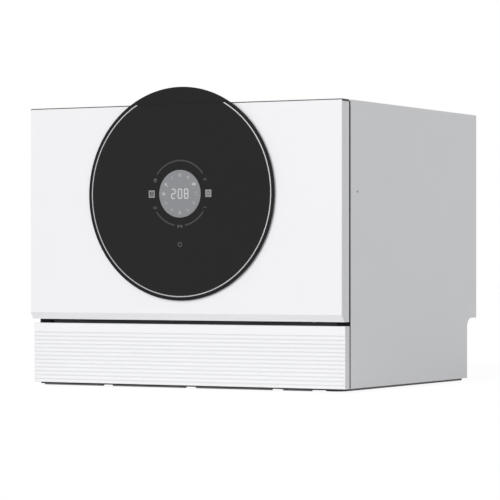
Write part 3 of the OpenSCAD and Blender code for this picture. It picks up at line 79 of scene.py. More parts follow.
def seen_directly(nodes, links):
    """1 on camera, mirror and glass rays, and 0 on the rays that light the object."""
    path = nodes.new("ShaderNodeLightPath")
    total = path.outputs["Is Camera Ray"]
    for name in ("Is Glossy Ray", "Is Transmission Ray"):
        add = nodes.new("ShaderNodeMath")
        add.operation = "MAXIMUM"
        links.new(total, add.inputs[0])
        links.new(path.outputs[name], add.inputs[1])
        total = add.outputs[0]
    return total


room = bpy.data.worlds.new("white_room")
scene.world = room
room.use_nodes = True
nodes, links = room.node_tree.nodes, room.node_tree.links
nodes.clear()
light = nodes.new("ShaderNodeBackground")
light.inputs["Color"].default_value = (1, 1, 1, 1)
light.inputs["Strength"].default_value = ROOM_LIGHT
backdrop = nodes.new("ShaderNodeBackground")
backdrop.inputs["Color"].default_value = (1, 1, 1, 1)
either = nodes.new("ShaderNodeMixShader")
out = nodes.new("ShaderNodeOutputWorld")
links.new(seen_directly(nodes, links), either.inputs["Fac"])
links.new(light.outputs[0], either.inputs[1])
links.new(backdrop.outputs[0], either.inputs[2])
links.new(either.outputs[0], out.inputs["Surface"])

key = bpy.data.objects.new("key", bpy.data.lights.new("key", "SUN"))
key.data.energy = KEY_STRENGTH
key.data.angle = KEY_BREADTH
key.rotation_euler = KEY_TURN
scene.collection.objects.link(key)

mesh = bpy.data.meshes.new("floor")
bm = bmesh.new()
bmesh.ops.create_grid(bm, x_segments=1, y_segments=1, size=FLOOR_SIZE / 2)
bm.to_mesh(mesh)
bm.free()
floor = bpy.data.objects.new("floor", mesh)
scene.collection.objects.link(floor)
paper = bpy.data.materials.new("paper")
paper.use_nodes = True
nodes, links = paper.node_tree.nodes, paper.node_tree.links
nodes["Principled BSDF"].inputs["Base Color"].default_value = PAPER_WHITE
nodes["Principled BSDF"].inputs["Roughness"].default_value = 0.9
nodes["Principled BSDF"].inputs["Specular IOR Level"].default_value = 0.1
glow = nodes.new("ShaderNodeEmission")
glow.inputs["Strength"].default_value = GLOW_STRENGTH
share = nodes.new("ShaderNodeMath")
share.operation = "MULTIPLY"
share.inputs[1].default_value = FLOOR_GLOW
links.new(seen_directly(nodes, links), share.inputs[0])
either = nodes.new("ShaderNodeMixShader")
links.new(share.outputs[0], either.inputs["Fac"])
links.new(nodes["Principled BSDF"].outputs[0], either.inputs[1])
links.new(glow.outputs[0], either.inputs[2])
links.new(either.outputs[0], nodes["Material Output"].inputs["Surface"])
mesh.materials.append(paper)


# ---- Steel cabinet ----
# Folded sheet steel with a baked powder coat, which leaves a fine orange peel. The two
# sides, the worktop and the rear wall are separate panels, held by screws at the back.
BLOTCH_WAVES = 14.0
BUMP_STRENGTH = 0.6
COAT_ROUGHNESS = 0.08


def srgb(red, green, blue):
    """A colour given as 0 to 255 values, in the linear values that the shader takes."""
    values = [v / 255 for v in (red, green, blue)]
    return [v / 12.92 if v <= 0.04045 else ((v + 0.055) / 1.055) ** 2.4 for v in values] + [1]


def surface(name, colour, roughness, metal=0.0, grain=(800, 800, 800), relief=0.02 * MM,
            shade=0.03, wear=0.08, coat=0.0, specular=0.5):
    """A finish whose tint, gloss and relief vary as the real stuff does. Grain is in waves
    per metre along each axis, and relief is its depth."""
    material = bpy.data.materials.new(name)
    material.use_nodes = True
    nodes, links = material.node_tree.nodes, material.node_tree.links
    shader = nodes["Principled BSDF"]
    shader.inputs["Metallic"].default_value = metal
    shader.inputs["Coat Weight"].default_value = coat
    shader.inputs["Coat Roughness"].default_value = COAT_ROUGHNESS
    shader.inputs["Specular IOR Level"].default_value = specular
    place = nodes.new("ShaderNodeTexCoord")
    stretch = nodes.new("ShaderNodeMapping")
    stretch.inputs["Scale"].default_value = grain
    links.new(place.outputs["Object"], stretch.inputs["Vector"])
    fine = nodes.new("ShaderNodeTexNoise")
    fine.inputs["Scale"].default_value = 1.0
    fine.inputs["Detail"].default_value = 3.0
    links.new(stretch.outputs[0], fine.inputs["Vector"])
    broad = nodes.new("ShaderNodeTexNoise")
    broad.inputs["Scale"].default_value = BLOTCH_WAVES
    broad.inputs["Detail"].default_value = 4.0
    links.new(place.outputs["Object"], broad.inputs["Vector"])
    tint = nodes.new("ShaderNodeMix")
    tint.data_type = "RGBA"
    tint.inputs[6].default_value = [v * (1 - shade) for v in colour[:3]] + [1]
    tint.inputs[7].default_value = [min(v * (1 + shade), 1.0) for v in colour[:3]] + [1]
    links.new(broad.outputs["Fac"], tint.inputs[0])
    links.new(tint.outputs[2], shader.inputs["Base Color"])
    gloss = nodes.new("ShaderNodeMapRange")
    gloss.inputs["From Min"].default_value = 0.3
    gloss.inputs["From Max"].default_value = 0.7
    gloss.inputs["To Min"].default_value = max(roughness - wear / 2, 0.02)
    gloss.inputs["To Max"].default_value = roughness + wear / 2
    links.new(fine.outputs["Fac"], gloss.inputs["Value"])
    links.new(gloss.outputs[0], shader.inputs["Roughness"])
    bump = nodes.new("ShaderNodeBump")
    bump.inputs["Strength"].default_value = BUMP_STRENGTH
    bump.inputs["Distance"].default_value = relief
    links.new(fine.outputs["Fac"], bump.inputs["Height"])
    links.new(bump.outputs["Normal"], shader.inputs["Normal"])
    return material


def dress(material, *names):
    """Gives CAD nodes their finish."""
    for name in names:
        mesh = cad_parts[name].data
        mesh.materials.clear()
        mesh.materials.append(material)


WHITE_PAINT = srgb(245, 246, 249)
powder_coat = surface("powder_coat", WHITE_PAINT, 0.42, grain=(700, 700, 700), relief=0.03 * MM,
                      shade=0.01)
dress(powder_coat, "side_panel_left", "side_panel_right", "top_panel")
rear_coat = surface("rear_coat", srgb(205, 206, 209), 0.5, relief=0.03 * MM, shade=0.02)
dress(rear_coat, "rear_panel")
black_zinc = surface("black_zinc", srgb(64, 64, 66), 0.35, metal=0.9, shade=0.1)
dress(black_zinc, "panel_screws")

# ---- Painted joint shade ----
# Near-black strips on the front folds of the side panels paint the shade in the joints round
# the door as dark lines, and a wider patch paints the shade in the corner under the door.
side_low, side_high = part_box("side_panel_right")
kick_low, kick_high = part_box("kick_panel")
door_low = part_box("door_panel")[0]
STRIP_OUT = 1.1 * MM
SEAM_OUT = 2.6 * MM
STRIP_IN = 0.7 * MM
STRIP_EDGE = 0.3 * MM
STRIP_WIDTH = 4 * MM
SHADE_PATCH_WIDTH = 22 * MM
TOP_FOLD = 9 * MM
SHARP = math.radians(35)


def edges_at(verts):
    """The edges at some vertices, each once, in the same order on every run."""
    return list(dict.fromkeys(edge for vert in verts for edge in vert.link_edges))


def box_into(bm, low, high, rounding=0.0):
    """A block between two corners, with all its edges rounded."""
    size = Vector(high) - Vector(low)
    shape = Matrix.Translation((Vector(low) + Vector(high)) / 2) @ Matrix.Diagonal((*size, 1))
    made = bmesh.ops.create_cube(bm, size=1, matrix=shape)
    if rounding:
        bmesh.ops.bevel(bm, geom=edges_at(made["verts"]), offset=rounding, segments=3,
                        affect="EDGES", profile=0.5, material=-1)


def place_piece(bm, name, material, body):
    """Puts a finished mesh into the scene as a piece that rides on a body."""
    mesh = bpy.data.meshes.new(name)
    bm.to_mesh(mesh)
    bm.free()
    piece = bpy.data.objects.new(name, mesh)
    scene.collection.objects.link(piece)
    mesh.materials.append(material)
    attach(piece, body)


def solid(name, material, body, build):
    """A piece made by what build puts into its mesh, with smooth shading under 35 degrees."""
    bm = bmesh.new()
    build(bm)
    bmesh.ops.recalc_face_normals(bm, faces=bm.faces)
    for face in bm.faces:
        face.smooth = True
    for edge in bm.edges:
        if len(edge.link_faces) == 2 and edge.calc_face_angle() > SHARP:
            edge.smooth = False
    place_piece(bm, name, material, body)


def draw_joint_shade(bm):
    """Four lengths of painted shade up each side: beside the plinth, in the gap, beside the door,
    at the top.
    """
    lip = side_high.z - TOP_FOLD
    sill = (kick_high.z, door_low.z)
    for side in (-1, 1):
        edge = side * (side_high.x - STRIP_EDGE)
        for width, out, inward, z0, z1 in (
                (STRIP_WIDTH, SEAM_OUT, STRIP_IN, side_low.z + 1 * MM, sill[0]),
                (SHADE_PATCH_WIDTH, STRIP_OUT, STRIP_IN, sill[0] - 4 * MM, sill[1] + 3 * MM),
                (STRIP_WIDTH, STRIP_OUT, STRIP_IN, sill[1], lip),
                (STRIP_WIDTH, STRIP_OUT, 0.05 * MM, lip - 1 * MM, lip + 7 * MM)):
            ends = sorted((edge, edge - side * width))
            box_into(bm, (ends[0], side_low.y - out, z0), (ends[1], side_low.y + inward, z1),
                     0.2 * MM)


# Near-black colour that paints the shade in the joints and in the corner under the door.
joint_shade_black = surface("joint_shade_black", srgb(34, 34, 35), 0.85, relief=0.06 * MM, shade=0.12,
                     specular=0.2)
solid("joint_shade_strips", joint_shade_black, "cabinet", draw_joint_shade)

# ---- Painted screw recesses ----
# Dark crosses on the pan heads of the sheet-metal screws, along the rear wall's edge and round
# the inner door. Their black paints the shade in the cross recesses.
HEAD_DEPTH = 3 * MM
CROSS_REACH = 1.9 * MM
CROSS_HALF = 0.42 * MM
painted_recess_shade = surface("painted_recess_shade", srgb(16, 16, 17), 0.7, shade=0.1)


def islands(name):
    """The low and high corners of each separate solid in a CAD node."""
    bm = bmesh.new()
    bm.from_mesh(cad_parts[name].data)
    bmesh.ops.remove_doubles(bm, verts=bm.verts, dist=0.001 * MM)
    left, boxes = set(bm.verts), []
    while left:
        reached = [left.pop()]
        for vert in reached:
            for edge in vert.link_edges:
                other = edge.other_vert(vert)
                if other in left:
                    left.remove(other)
                    reached.append(other)
        spots = [v.co for v in reached]
        low = Vector([min(s[axis] for s in spots) for axis in range(3)])
        high = Vector([max(s[axis] for s in spots) for axis in range(3)])
        boxes.append((low, high))
    bm.free()
    return sorted(boxes, key=lambda box: tuple(box[0]))


def draw_crosses(name):
    """A cross in each screw's head; the solids that are deeper than a head are left out."""
    def build(bm):
        for low, high in islands(name):
            if high.y - low.y > HEAD_DEPTH:
                continue
            middle = (low + high) / 2
            for across, up in ((CROSS_REACH, CROSS_HALF), (CROSS_HALF, CROSS_REACH)):
                box_into(bm, (middle.x - across, high.y - 0.3 * MM, middle.z - up),
                         (middle.x + across, high.y + 0.02 * MM, middle.z + up))

    return build


solid("panel_screw_crosses", painted_recess_shade, "cabinet", draw_crosses("panel_screws"))
solid("door_screw_crosses", painted_recess_shade, "door", draw_crosses("door_screws"))

# ---- Base and kick panel ----
# A black moulded tray with rubber feet carries everything; its edge shows as the dark strip
# under the panels. The white plinth in front of it is moulded with shallow grooves.
black_tray = surface("black_tray", srgb(52, 52, 54), 0.55, grain=(1500, 1500, 1500), shade=0.08)
dress(black_tray, "base_tray")
foot_rubber = surface("foot_rubber", srgb(70, 70, 72), 0.8, relief=0.05 * MM, shade=0.15)
dress(foot_rubber, "feet")
white_moulding = surface("white_moulding", srgb(242, 242, 245), 0.34, grain=(2200, 2200, 2200),
                         relief=0.008 * MM, shade=0.008, coat=0.15)
kick_white = surface("kick_white", srgb(243, 243, 245), 0.4, grain=(2200, 2200, 2200),
                     relief=0.008 * MM, shade=0.008)
GROOVE_PITCH = 6.13 * MM
GROOVE_WIDTH = 2.4 * MM
GROOVES = 13
FIRST_GROOVE = kick_high.z - 15 * MM
GROOVE_FRONT = kick_low.y + 1.6 * MM


def math_node(nodes, links, operation, first, second):
    """One Math node; an input is a number or another node's output."""
    node = nodes.new("ShaderNodeMath")
    node.operation = operation
    for socket, value in zip(node.inputs, (first, second)):
        if isinstance(value, (int, float)):
            socket.default_value = value
        else:
            links.new(value, socket)
    return node.outputs[0]


def paint_groove_shade(material, groove_shade):
    """Paints shade a little down in each groove by darkening the plinth's colour there."""
    nodes, links = material.node_tree.nodes, material.node_tree.links
    shader = nodes["Principled BSDF"]
    unshaded = shader.inputs["Base Color"].links[0].from_socket
    place = nodes.new("ShaderNodeTexCoord")
    split = nodes.new("ShaderNodeSeparateXYZ")
    links.new(place.outputs["Object"], split.inputs[0])
    start = FIRST_GROOVE + GROOVE_PITCH / 2
    down = math_node(nodes, links, "SUBTRACT", start, split.outputs["Z"])
    along = math_node(nodes, links, "DIVIDE", down, GROOVE_PITCH)
    phase = math_node(nodes, links, "FRACT", along, 0)
    offset = math_node(nodes, links, "ABSOLUTE", math_node(nodes, links, "SUBTRACT", phase, 0.5), 0)
    near = nodes.new("ShaderNodeMapRange")
    near.inputs["From Min"].default_value = GROOVE_WIDTH / GROOVE_PITCH / 2
    near.inputs["From Max"].default_value = GROOVE_WIDTH / GROOVE_PITCH / 4
    links.new(offset, near.inputs["Value"])
    first = math_node(nodes, links, "GREATER_THAN", along, 0)
    last = math_node(nodes, links, "LESS_THAN", along, GROOVES)
    front = math_node(nodes, links, "LESS_THAN", split.outputs["Y"], GROOVE_FRONT)
    rows = math_node(nodes, links, "MULTIPLY", first, last)
    inside = math_node(nodes, links, "MULTIPLY", rows, front)
    amount = math_node(nodes, links, "MULTIPLY", inside, near.outputs[0])
    mix = nodes.new("ShaderNodeMix")
    mix.data_type = "RGBA"
    links.new(amount, mix.inputs[0])
    links.new(unshaded, mix.inputs[6])
    mix.inputs[7].default_value = groove_shade
    links.new(mix.outputs[2], shader.inputs["Base Color"])


# The darker colour down in the grooves is painted shade.
paint_groove_shade(kick_white, srgb(226, 226, 228))
dress(kick_white, "kick_panel")

# ---- Painted shade under the tray ----
# Grey strips under the tray's front edge paint the shade in the gap between the tray and the floor,
# with breaks where that line is broken. They make the dark line under the plinth thick and broken.
tray_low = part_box("base_tray")[0]
SHADE_STRIP_LOW = 1.1 * MM
SHADE_STRIP_DEEP = 7 * MM
SHADE_STRIP_ENDS = ((-268, -160.5), (-141, -11), (9, 140), (160.5, 208))


def draw_under_tray_shade(bm):
    under = tray_low.z + 0.05 * MM
    for start, end in SHADE_STRIP_ENDS:
        box_into(bm, (start * MM, tray_low.y + 1 * MM, SHADE_STRIP_LOW),
                 (end * MM, tray_low.y + SHADE_STRIP_DEEP, under), 0.3 * MM)


under_tray_shade_grey = surface("under_tray_shade_grey", srgb(165, 165, 166), 0.95, grain=(3000, 3000, 3000),
                    relief=0.1 * MM, shade=0.15, specular=0.1)
solid("under_tray_shade_strips", under_tray_shade_grey, "cabinet", draw_under_tray_shade)

# ---- Door ----
# A white moulding with a chamfered lower edge. A dark moulded cap clips along its top, and
# its two ends are turned down over the sides.
dress(white_moulding, "door_panel")
cap_black = surface("cap_black", srgb(52, 52, 54), 0.45, shade=0.05)
dress(cap_black, "door_top_cap")
cap_low, cap_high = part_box("door_top_cap")
CAP_END = 3.4 * MM
CAP_END_PROUD = 0.1 * MM


def draw_cap_ends(bm):
    for side in (-1, 1):
        ends = sorted((side * (cap_high.x - 0.6 * MM), side * (cap_high.x + CAP_END_PROUD)))
        box_into(bm, (ends[0], cap_low.y + 1 * MM, cap_high.z - CAP_END),
                 (ends[1], cap_high.y - 0.3 * MM, cap_high.z - 0.3 * MM), 0.08 * MM)


solid("door_cap_ends", cap_black, "door", draw_cap_ends)

# ---- Control disc ----
# A round black bezel, whose top is the door's handle, holds a black glass with printed
# keys. A thin bright ring lies between the two and stops at the top of the door.
bezel_black = surface("bezel_black", srgb(20, 20, 21), 0.35, grain=(2500, 2500, 2500),
                      relief=0.006 * MM, shade=0.05, specular=0.12)
dress(bezel_black, "disc_rim", "disc_housing")
black_glass = surface("black_glass", srgb(19, 19, 20), 0.06, relief=0.0002 * MM, shade=0.03,
                      wear=0.02, specular=0.22)
dress(black_glass, "disc_glass")
bright_ring = surface("bright_ring", srgb(168, 168, 171), 0.25, metal=1.0, shade=0.05)
dress(bright_ring, "disc_trim_ring")
# The window's mid grey paints the glow of the display board behind it.
backlit_window_paint = surface("backlit_window_paint", srgb(139, 140, 143), 0.2, relief=0.0002 * MM, shade=0.02,
                        specular=0.25)
dress(backlit_window_paint, "display_window")
circuit_board = surface("circuit_board", srgb(24, 92, 52), 0.4, shade=0.1)
dress(circuit_board, "display_board")

# ---- Printed keys ----
# Touch keys and their arcs are printed on the glass in three greys: faint arcs round the
# display, small outlined marks, and one light square key on either side.
PRINT = 0.06 * MM
rim_low, rim_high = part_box("disc_rim")
FACE = Vector((0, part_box("disc_glass")[0].y - PRINT / 2, (rim_low.z + rim_high.z) / 2))
ARC_RADIUS = 50 * MM
ARC_WIDTH = 2.4 * MM
ARC_MIDDLE = 0.9 * MM
ARC_SPANS = ((-54, 54), (124, 169.5), (190.5, 236))
KEY_ROW = 50 * MM


def on_face(x, z, turn=0.0):
    """A place on the disc, x to the right and z up from its middle, turned clockwise."""
    place = Matrix.Translation(FACE + Vector((x, 0, z)))
    return place @ Matrix.Rotation(math.radians(turn), 4, "Y")


def bar(bm, x, z, width, height, turn=0.0, corner=0.0):
    """A printed block with round corners."""
    shape = on_face(x, z, turn) @ Matrix.Diagonal((width, PRINT, height, 1))
    made = bmesh.ops.create_cube(bm, size=1, matrix=shape)
    if corner:
        depth_edges = [e for e in edges_at(made["verts"])
                       if abs(e.verts[0].co.y - e.verts[1].co.y) > PRINT / 2]
        bmesh.ops.bevel(bm, geom=depth_edges, offset=corner, segments=4,
                        affect="EDGES", profile=0.5, material=-1)


def dot(bm, x, z, radius):
    """A printed round spot."""
    lie = Matrix.Rotation(math.pi / 2, 4, "X")
    bmesh.ops.create_cone(bm, cap_ends=True, segments=24, radius1=radius, radius2=radius,
                          depth=PRINT, matrix=on_face(x, z) @ lie)


def arc(bm, x, z, radius, width, start=0.0, end=360.0):
    """Part of a printed ring, clockwise from the top."""
    whole = end - start >= 360
    lie = Matrix.Rotation(math.pi / 2, 4, "Z") @ Matrix.Rotation(math.pi / 2, 4, "X")
    first = on_face(x, z, start) @ Matrix.Translation((0, 0, radius))
    made = bmesh.ops.create_grid(bm, x_segments=1, y_segments=1, size=0.5,
                                 matrix=first @ lie @ Matrix.Diagonal((PRINT, width, 1, 1)))
    geom = made["verts"] + [e for e in bm.edges if e.verts[0] in made["verts"]
                            and e.verts[1] in made["verts"]]
    geom += [f for f in bm.faces if set(f.verts) <= set(made["verts"])]
    bmesh.ops.spin(bm, geom=geom, cent=on_face(x, z).translation, axis=(0, 1, 0),
                   angle=math.radians(end - start), steps=max(6, int((end - start) / 4)),
                   use_merge=whole, use_duplicate=False)


def printed(name, material, draw):
    """Makes one printed piece from what draw puts into its mesh."""
    bm = bmesh.new()
    draw(bm)
    bmesh.ops.recalc_face_normals(bm, faces=bm.faces)
    place_piece(bm, name, material, "door")


def draw_arcs(bm):
    for start, end in ARC_SPANS:
        arc(bm, 0, ARC_MIDDLE, ARC_RADIUS, ARC_WIDTH, start, end)


def draw_marks(bm):
    arc(bm, -43.6 * MM, 21 * MM, 2.5 * MM, 0.9 * MM)
    bar(bm, -43.6 * MM, 22 * MM, 4.4 * MM, 1.8 * MM, corner=0.6 * MM)
    arc(bm, 44 * MM, 20.5 * MM, 2.4 * MM, 0.7 * MM, -70, 70)
    bar(bm, 44 * MM, 20.6 * MM, 5 * MM, 0.7 * MM)
    for x in (-45.3, -42.7):
        arc(bm, x * MM, -21 * MM, 1.7 * MM, 0.5 * MM)
    for x in (42.2, 45.8):
        bar(bm, x * MM, -21 * MM, 2.2 * MM, 0.9 * MM, corner=0.3 * MM)
    for side in (-1, 1):
        bar(bm, side * 3.4 * MM, -50 * MM, 1.3 * MM, 5 * MM, corner=0.4 * MM)
        bar(bm, side * 1.6 * MM, -50 * MM, 1.1 * MM, 4.6 * MM, turn=-side * 40, corner=0.3 * MM)
    arc(bm, 0, -77.5 * MM, 3.3 * MM, 0.9 * MM, 35, 325)
    bar(bm, 0, -75 * MM, 0.9 * MM, 3.4 * MM, corner=0.3 * MM)


def draw_keys(bm):
    wide, high = 10.6 * MM, 11.2 * MM
    for x, line in ((-KEY_ROW, 2.1 * MM), (KEY_ROW, 2.6 * MM)):
        for side in (-1, 1):
            bar(bm, x, side * (high - line) / 2, wide, line, corner=0.6 * MM)
            bar(bm, x + side * (wide - line) / 2, 0, line, high - 2 * line)
    bar(bm, KEY_ROW, 0, 3.9 * MM, 4.4 * MM, corner=0.6 * MM)
    for z in (-1.5, 1.5):
        bar(bm, -KEY_ROW, z * MM, 4 * MM, 1.6 * MM)


faint_ink = surface("faint_ink", srgb(61, 61, 61), 0.4, shade=0.02, specular=0.2)
mark_ink = surface("mark_ink", srgb(100, 100, 100), 0.4, shade=0.02, specular=0.2)
key_ink = surface("key_ink", srgb(150, 150, 150), 0.4, shade=0.02, specular=0.2)
printed("print_arcs", faint_ink, draw_arcs)
printed("print_marks", mark_ink, draw_marks)
printed("print_keys", key_ink, draw_keys)

# ---- Lit display ----
# Light digits and a ring of small programme signs. Their glow through the smoked window from a
# board behind it is painted: they are plain light surface colours, not lamps.
DIGIT_WIDTH = 7.8 * MM
DIGIT_HEIGHT = 15.9 * MM
STROKE = 1.8 * MM
SIGN_RING = 28.5 * MM
TIME = ((-11.5, "2"), (0.3, "0"), (11.2, "8"))
LIT = {"0": "abcdef", "2": "abged", "8": "abcdefg"}


def draw_digit(bm, x, number):
    """A digit of seven bars, a to g."""
    across, up = (DIGIT_WIDTH - STROKE) / 2, (DIGIT_HEIGHT - STROKE) / 2
    level = {"a": up, "g": 0, "d": -up}
    upright = {"b": (1, 1), "c": (1, -1), "e": (-1, -1), "f": (-1, 1)}
    for name in LIT[number]:
        if name in level:
            bar(bm, x, level[name], DIGIT_WIDTH - 1.2 * STROKE, STROKE, corner=0.4 * STROKE)
        else:
            side, half = upright[name]
            bar(bm, x + side * across, half * up / 2, STROKE, up, corner=0.4 * STROKE)


def draw_time(bm):
    for x, number in TIME:
        draw_digit(bm, x * MM, number)
    for z in (-3, 3):
        dot(bm, -5.9 * MM, z * MM, 0.55 * MM)


def sign_place(hour):
    """Where the sign at an hour of the ring stands."""
    angle = math.radians(hour * 30)
    return SIGN_RING * math.sin(angle), SIGN_RING * math.cos(angle)


def draw_bright_signs(bm):
    x, z = sign_place(2)
    bar(bm, x, z, 7.5 * MM, 3.2 * MM, corner=1 * MM)
    bar(bm, x, z + 2.4 * MM, 4 * MM, 0.9 * MM)
    x, z = sign_place(9)
    dot(bm, x, z, 1.9 * MM)
    for turn in range(0, 360, 45):
        away = Vector((math.sin(math.radians(turn)), math.cos(math.radians(turn)))) * 2.7 * MM
        bar(bm, x + away.x, z + away.y, 0.6 * MM, 1.4 * MM, turn=turn)
    x, z = sign_place(10)
    dot(bm, x - 0.6 * MM, z + 0.6 * MM, 1.9 * MM)
    bar(bm, x + 1.8 * MM, z - 1.6 * MM, 1.2 * MM, 4 * MM, turn=-50, corner=0.4 * MM)


def draw_faint_signs(bm):
    x, z = sign_place(12)
    arc(bm, x, z, 2.5 * MM, 0.8 * MM)
    dot(bm, x, z, 1.4 * MM)
    x, z = sign_place(1)
    bar(bm, x, z + 0.6 * MM, 3.8 * MM, 3.4 * MM, corner=0.8 * MM)
    bar(bm, x, z - 2.2 * MM, 3 * MM, 0.8 * MM)
    x, z = sign_place(3)
    for turn in (0, 60, 120):
        bar(bm, x, z, 1.2 * MM, 6 * MM, turn=turn)
    x, z = sign_place(4)
    for side in (-1, 1):
        bar(bm, x + side * 1.3 * MM, z, 1.1 * MM, 6.4 * MM, turn=side * 22)
    x, z = sign_place(5)
    arc(bm, x, z, 2.3 * MM, 0.9 * MM, 60, 300)
    dot(bm, x, z, 1 * MM)
    x, z = sign_place(6)
    dot(bm, x, z - 0.6 * MM, 2.5 * MM)
    bar(bm, x, z + 1.9 * MM, 1.9 * MM, 1.9 * MM, turn=45)
    x, z = sign_place(7)
    for step in (-1, 0, 1):
        bar(bm, x, z + step * 1.5 * MM, 4 * MM, 0.7 * MM)
    x, z = sign_place(8)
    arc(bm, x, z, 2 * MM, 0.6 * MM)
    bar(bm, x, z + 0.7 * MM, 0.6 * MM, 1.8 * MM)
    x, z = sign_place(11)
    bar(bm, x, z, 1.4 * MM, 4.4 * MM, turn=30, corner=0.5 * MM)
    bar(bm, x + 1.2 * MM, z + 1.6 * MM, 2.6 * MM, 0.8 * MM, turn=30)


# Painted glow: plain light colours that stand in for the display's light.
lit_white = surface("lit_white", srgb(206, 207, 209), 0.4, shade=0.01, specular=0.2)
lit_pale = surface("lit_pale", srgb(187, 188, 190), 0.4, shade=0.01, specular=0.2)
lit_faint = surface("lit_faint", srgb(169, 170, 173), 0.4, shade=0.01, specular=0.2)
printed("display_time", lit_white, draw_time)
printed("display_signs_bright", lit_pale, draw_bright_signs)
printed("display_signs_faint", lit_faint, draw_faint_signs)

# ---- Inner door ----
# Pressed stainless steel, brushed from side to side, with a raised pan that reaches into the
# tub. It is screwed to the door's moulding, and the hinge arms are riveted to it.
brushed_steel = surface("brushed_steel", srgb(196, 198, 200), 0.3, metal=1.0,
                        grain=(7, 2400, 2400), relief=0.005 * MM, shade=0.05, wear=0.12)
dress(brushed_steel, "door_liner")
zinc_steel = surface("zinc_steel", srgb(172, 174, 178), 0.36, metal=1.0, shade=0.08)
dress(zinc_steel, "hinge_arm_left", "hinge_arm_right", "hinge_bracket_left",
      "hinge_bracket_right", "latch_strike", "door_screws")
seal_rubber = surface("seal_rubber", srgb(58, 58, 60), 0.7, relief=0.04 * MM, shade=0.1)
dress(seal_rubber, "sill_seal", "tub_gasket", "cord_gland")

# ---- Dispenser ----
# A moulded tray let into the inner door, with a smoky lid that slides off the detergent
# chamber, its blue release button, and the dark cap of the rinse-aid tank.
pale_plastic = surface("pale_plastic", srgb(214, 215, 216), 0.42, shade=0.03)
dress(pale_plastic, "detergent_tray")
smoke_plastic = surface("smoke_plastic", srgb(150, 158, 168), 0.3, shade=0.04)
dress(smoke_plastic, "detergent_lid")
key_blue = surface("key_blue", srgb(70, 96, 132), 0.35, shade=0.05)
dress(key_blue, "dispenser_button")
cap_grey = surface("cap_grey", srgb(78, 82, 88), 0.4, shade=0.05)
dress(cap_grey, "rinse_cap", "salt_cap")

# ---- Latch ----
# A dark moulded housing over the tub's mouth holds a zinc-plated hook on a pin. The hook
# catches the wire loop on the inner door.
dress(cap_black, "latch_housing")
hook_zinc = surface("hook_zinc", srgb(186, 158, 96), 0.35, metal=0.9, shade=0.08)
dress(hook_zinc, "latch_hook")

# ---- Tub ----
# Deep-drawn from brushed stainless sheet, with a turned-out rim that carries the gasket.
# The rails for the rack's wheels are moulded and clipped to its side walls.
tub_steel = surface("tub_steel", srgb(190, 192, 195), 0.28, metal=1.0, grain=(2400, 7, 2400),
                    relief=0.005 * MM, shade=0.05, wear=0.12)
dress(tub_steel, "tub")
dress(pale_plastic, "runner_left", "runner_right")

# ---- Spray arm and filter ----
# Grey mouldings on the tub's floor: the spray arm turns on its hub, and the cup screws into
# a plate of fine perforated steel over the sump.
spray_grey = surface("spray_grey", srgb(150, 158, 168), 0.38, shade=0.05)
dress(spray_grey, "spray_arm", "spray_hub", "filter_cup")
filter_steel = surface("filter_steel", srgb(188, 190, 193), 0.3, metal=1.0, shade=0.05)
HOLE_PITCH = 1.6 * MM
HOLE_RADIUS = 0.45 * MM


def perforate(material, pitch, radius, hole_shade):
    """Rows of small punched holes over the whole sheet, painted dark for the shade inside them."""
    nodes, links = material.node_tree.nodes, material.node_tree.links
    shader = nodes["Principled BSDF"]
    sheet = shader.inputs["Base Color"].links[0].from_socket
    place = nodes.new("ShaderNodeTexCoord")
    rows = nodes.new("ShaderNodeTexVoronoi")
    rows.voronoi_dimensions = "2D"
    rows.inputs["Scale"].default_value = 1 / pitch
    rows.inputs["Randomness"].default_value = 0.0
    links.new(place.outputs["Object"], rows.inputs["Vector"])
    edge = nodes.new("ShaderNodeMapRange")
    edge.inputs["From Min"].default_value = 1.15 * radius / pitch
    edge.inputs["From Max"].default_value = 0.85 * radius / pitch
    links.new(rows.outputs["Distance"], edge.inputs["Value"])
    mix = nodes.new("ShaderNodeMix")
    mix.data_type = "RGBA"
    links.new(edge.outputs[0], mix.inputs[0])
    links.new(sheet, mix.inputs[6])
    mix.inputs[7].default_value = hole_shade
    links.new(mix.outputs[2], shader.inputs["Base Color"])


# The dark spots paint the shade seen through the holes.
perforate(filter_steel, HOLE_PITCH, HOLE_RADIUS, srgb(40, 41, 42))
dress(filter_steel, "main_filter")

# ---- Float ----
# A light moulded dome in the tub's front corner, which rises on its stem and works the
# switch under the floor when the water stands too high.
dress(pale_plastic, "float", "float_switch")

# ---- Rack wires ----
# Welded steel wire, dipped in light grey nylon. Each floor wire is bent up at both ends to
# the thick rim, and two bands run round the walls. All places come from the frame's nodes.
nylon_coat = surface("nylon_coat", srgb(202, 204, 208), 0.38, grain=(500, 500, 500),
                     relief=0.03 * MM, shade=0.03)
WIRE = 3.2 * MM
RIM_WIRE = 4.6 * MM
RACK_HEIGHT = 84 * MM
FLOOR_WIRES = 13
CROSS_WIRES = 8
FLOOR_INSET = 8 * MM
CROSS_INSET = 14 * MM
WHEEL_INSET = 36 * MM
WALL_BEND = 10 * MM
LOOP_BEND = 9 * MM
shelf_low, shelf_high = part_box("cup_shelf_right")
tines_low, tines_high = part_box("rack_tines")
rack_x = shelf_high.x + 1.5 * MM
rack_y0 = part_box("cutlery_basket")[0].y - 10 * MM
rack_y1 = (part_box("wheels_rear")[0].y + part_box("wheels_rear")[1].y) / 2 + WHEEL_INSET
rack_z = tines_low.z - 1.7 * MM
rack_top = rack_z + RACK_HEIGHT
band_out = 0.55 * WIRE
low_band = rack_z + 8 * MM


def bent(points, bend, closed=False, steps=6):
    """A wire's run with its corners bent round."""
    count = len(points)
    inner = range(count) if closed else range(1, count - 1)
    path = [] if closed else [points[0]]
    for i in inner:
        corner = points[i]
        start = corner + (points[i - 1] - corner).normalized() * bend
        end = corner + (points[(i + 1) % count] - corner).normalized() * bend
        for step in range(steps + 1):
            t = step / steps
            path.append(start * (1 - t) ** 2 + corner * 2 * t * (1 - t) + end * t * t)
    return path if closed else path + [points[-1]]


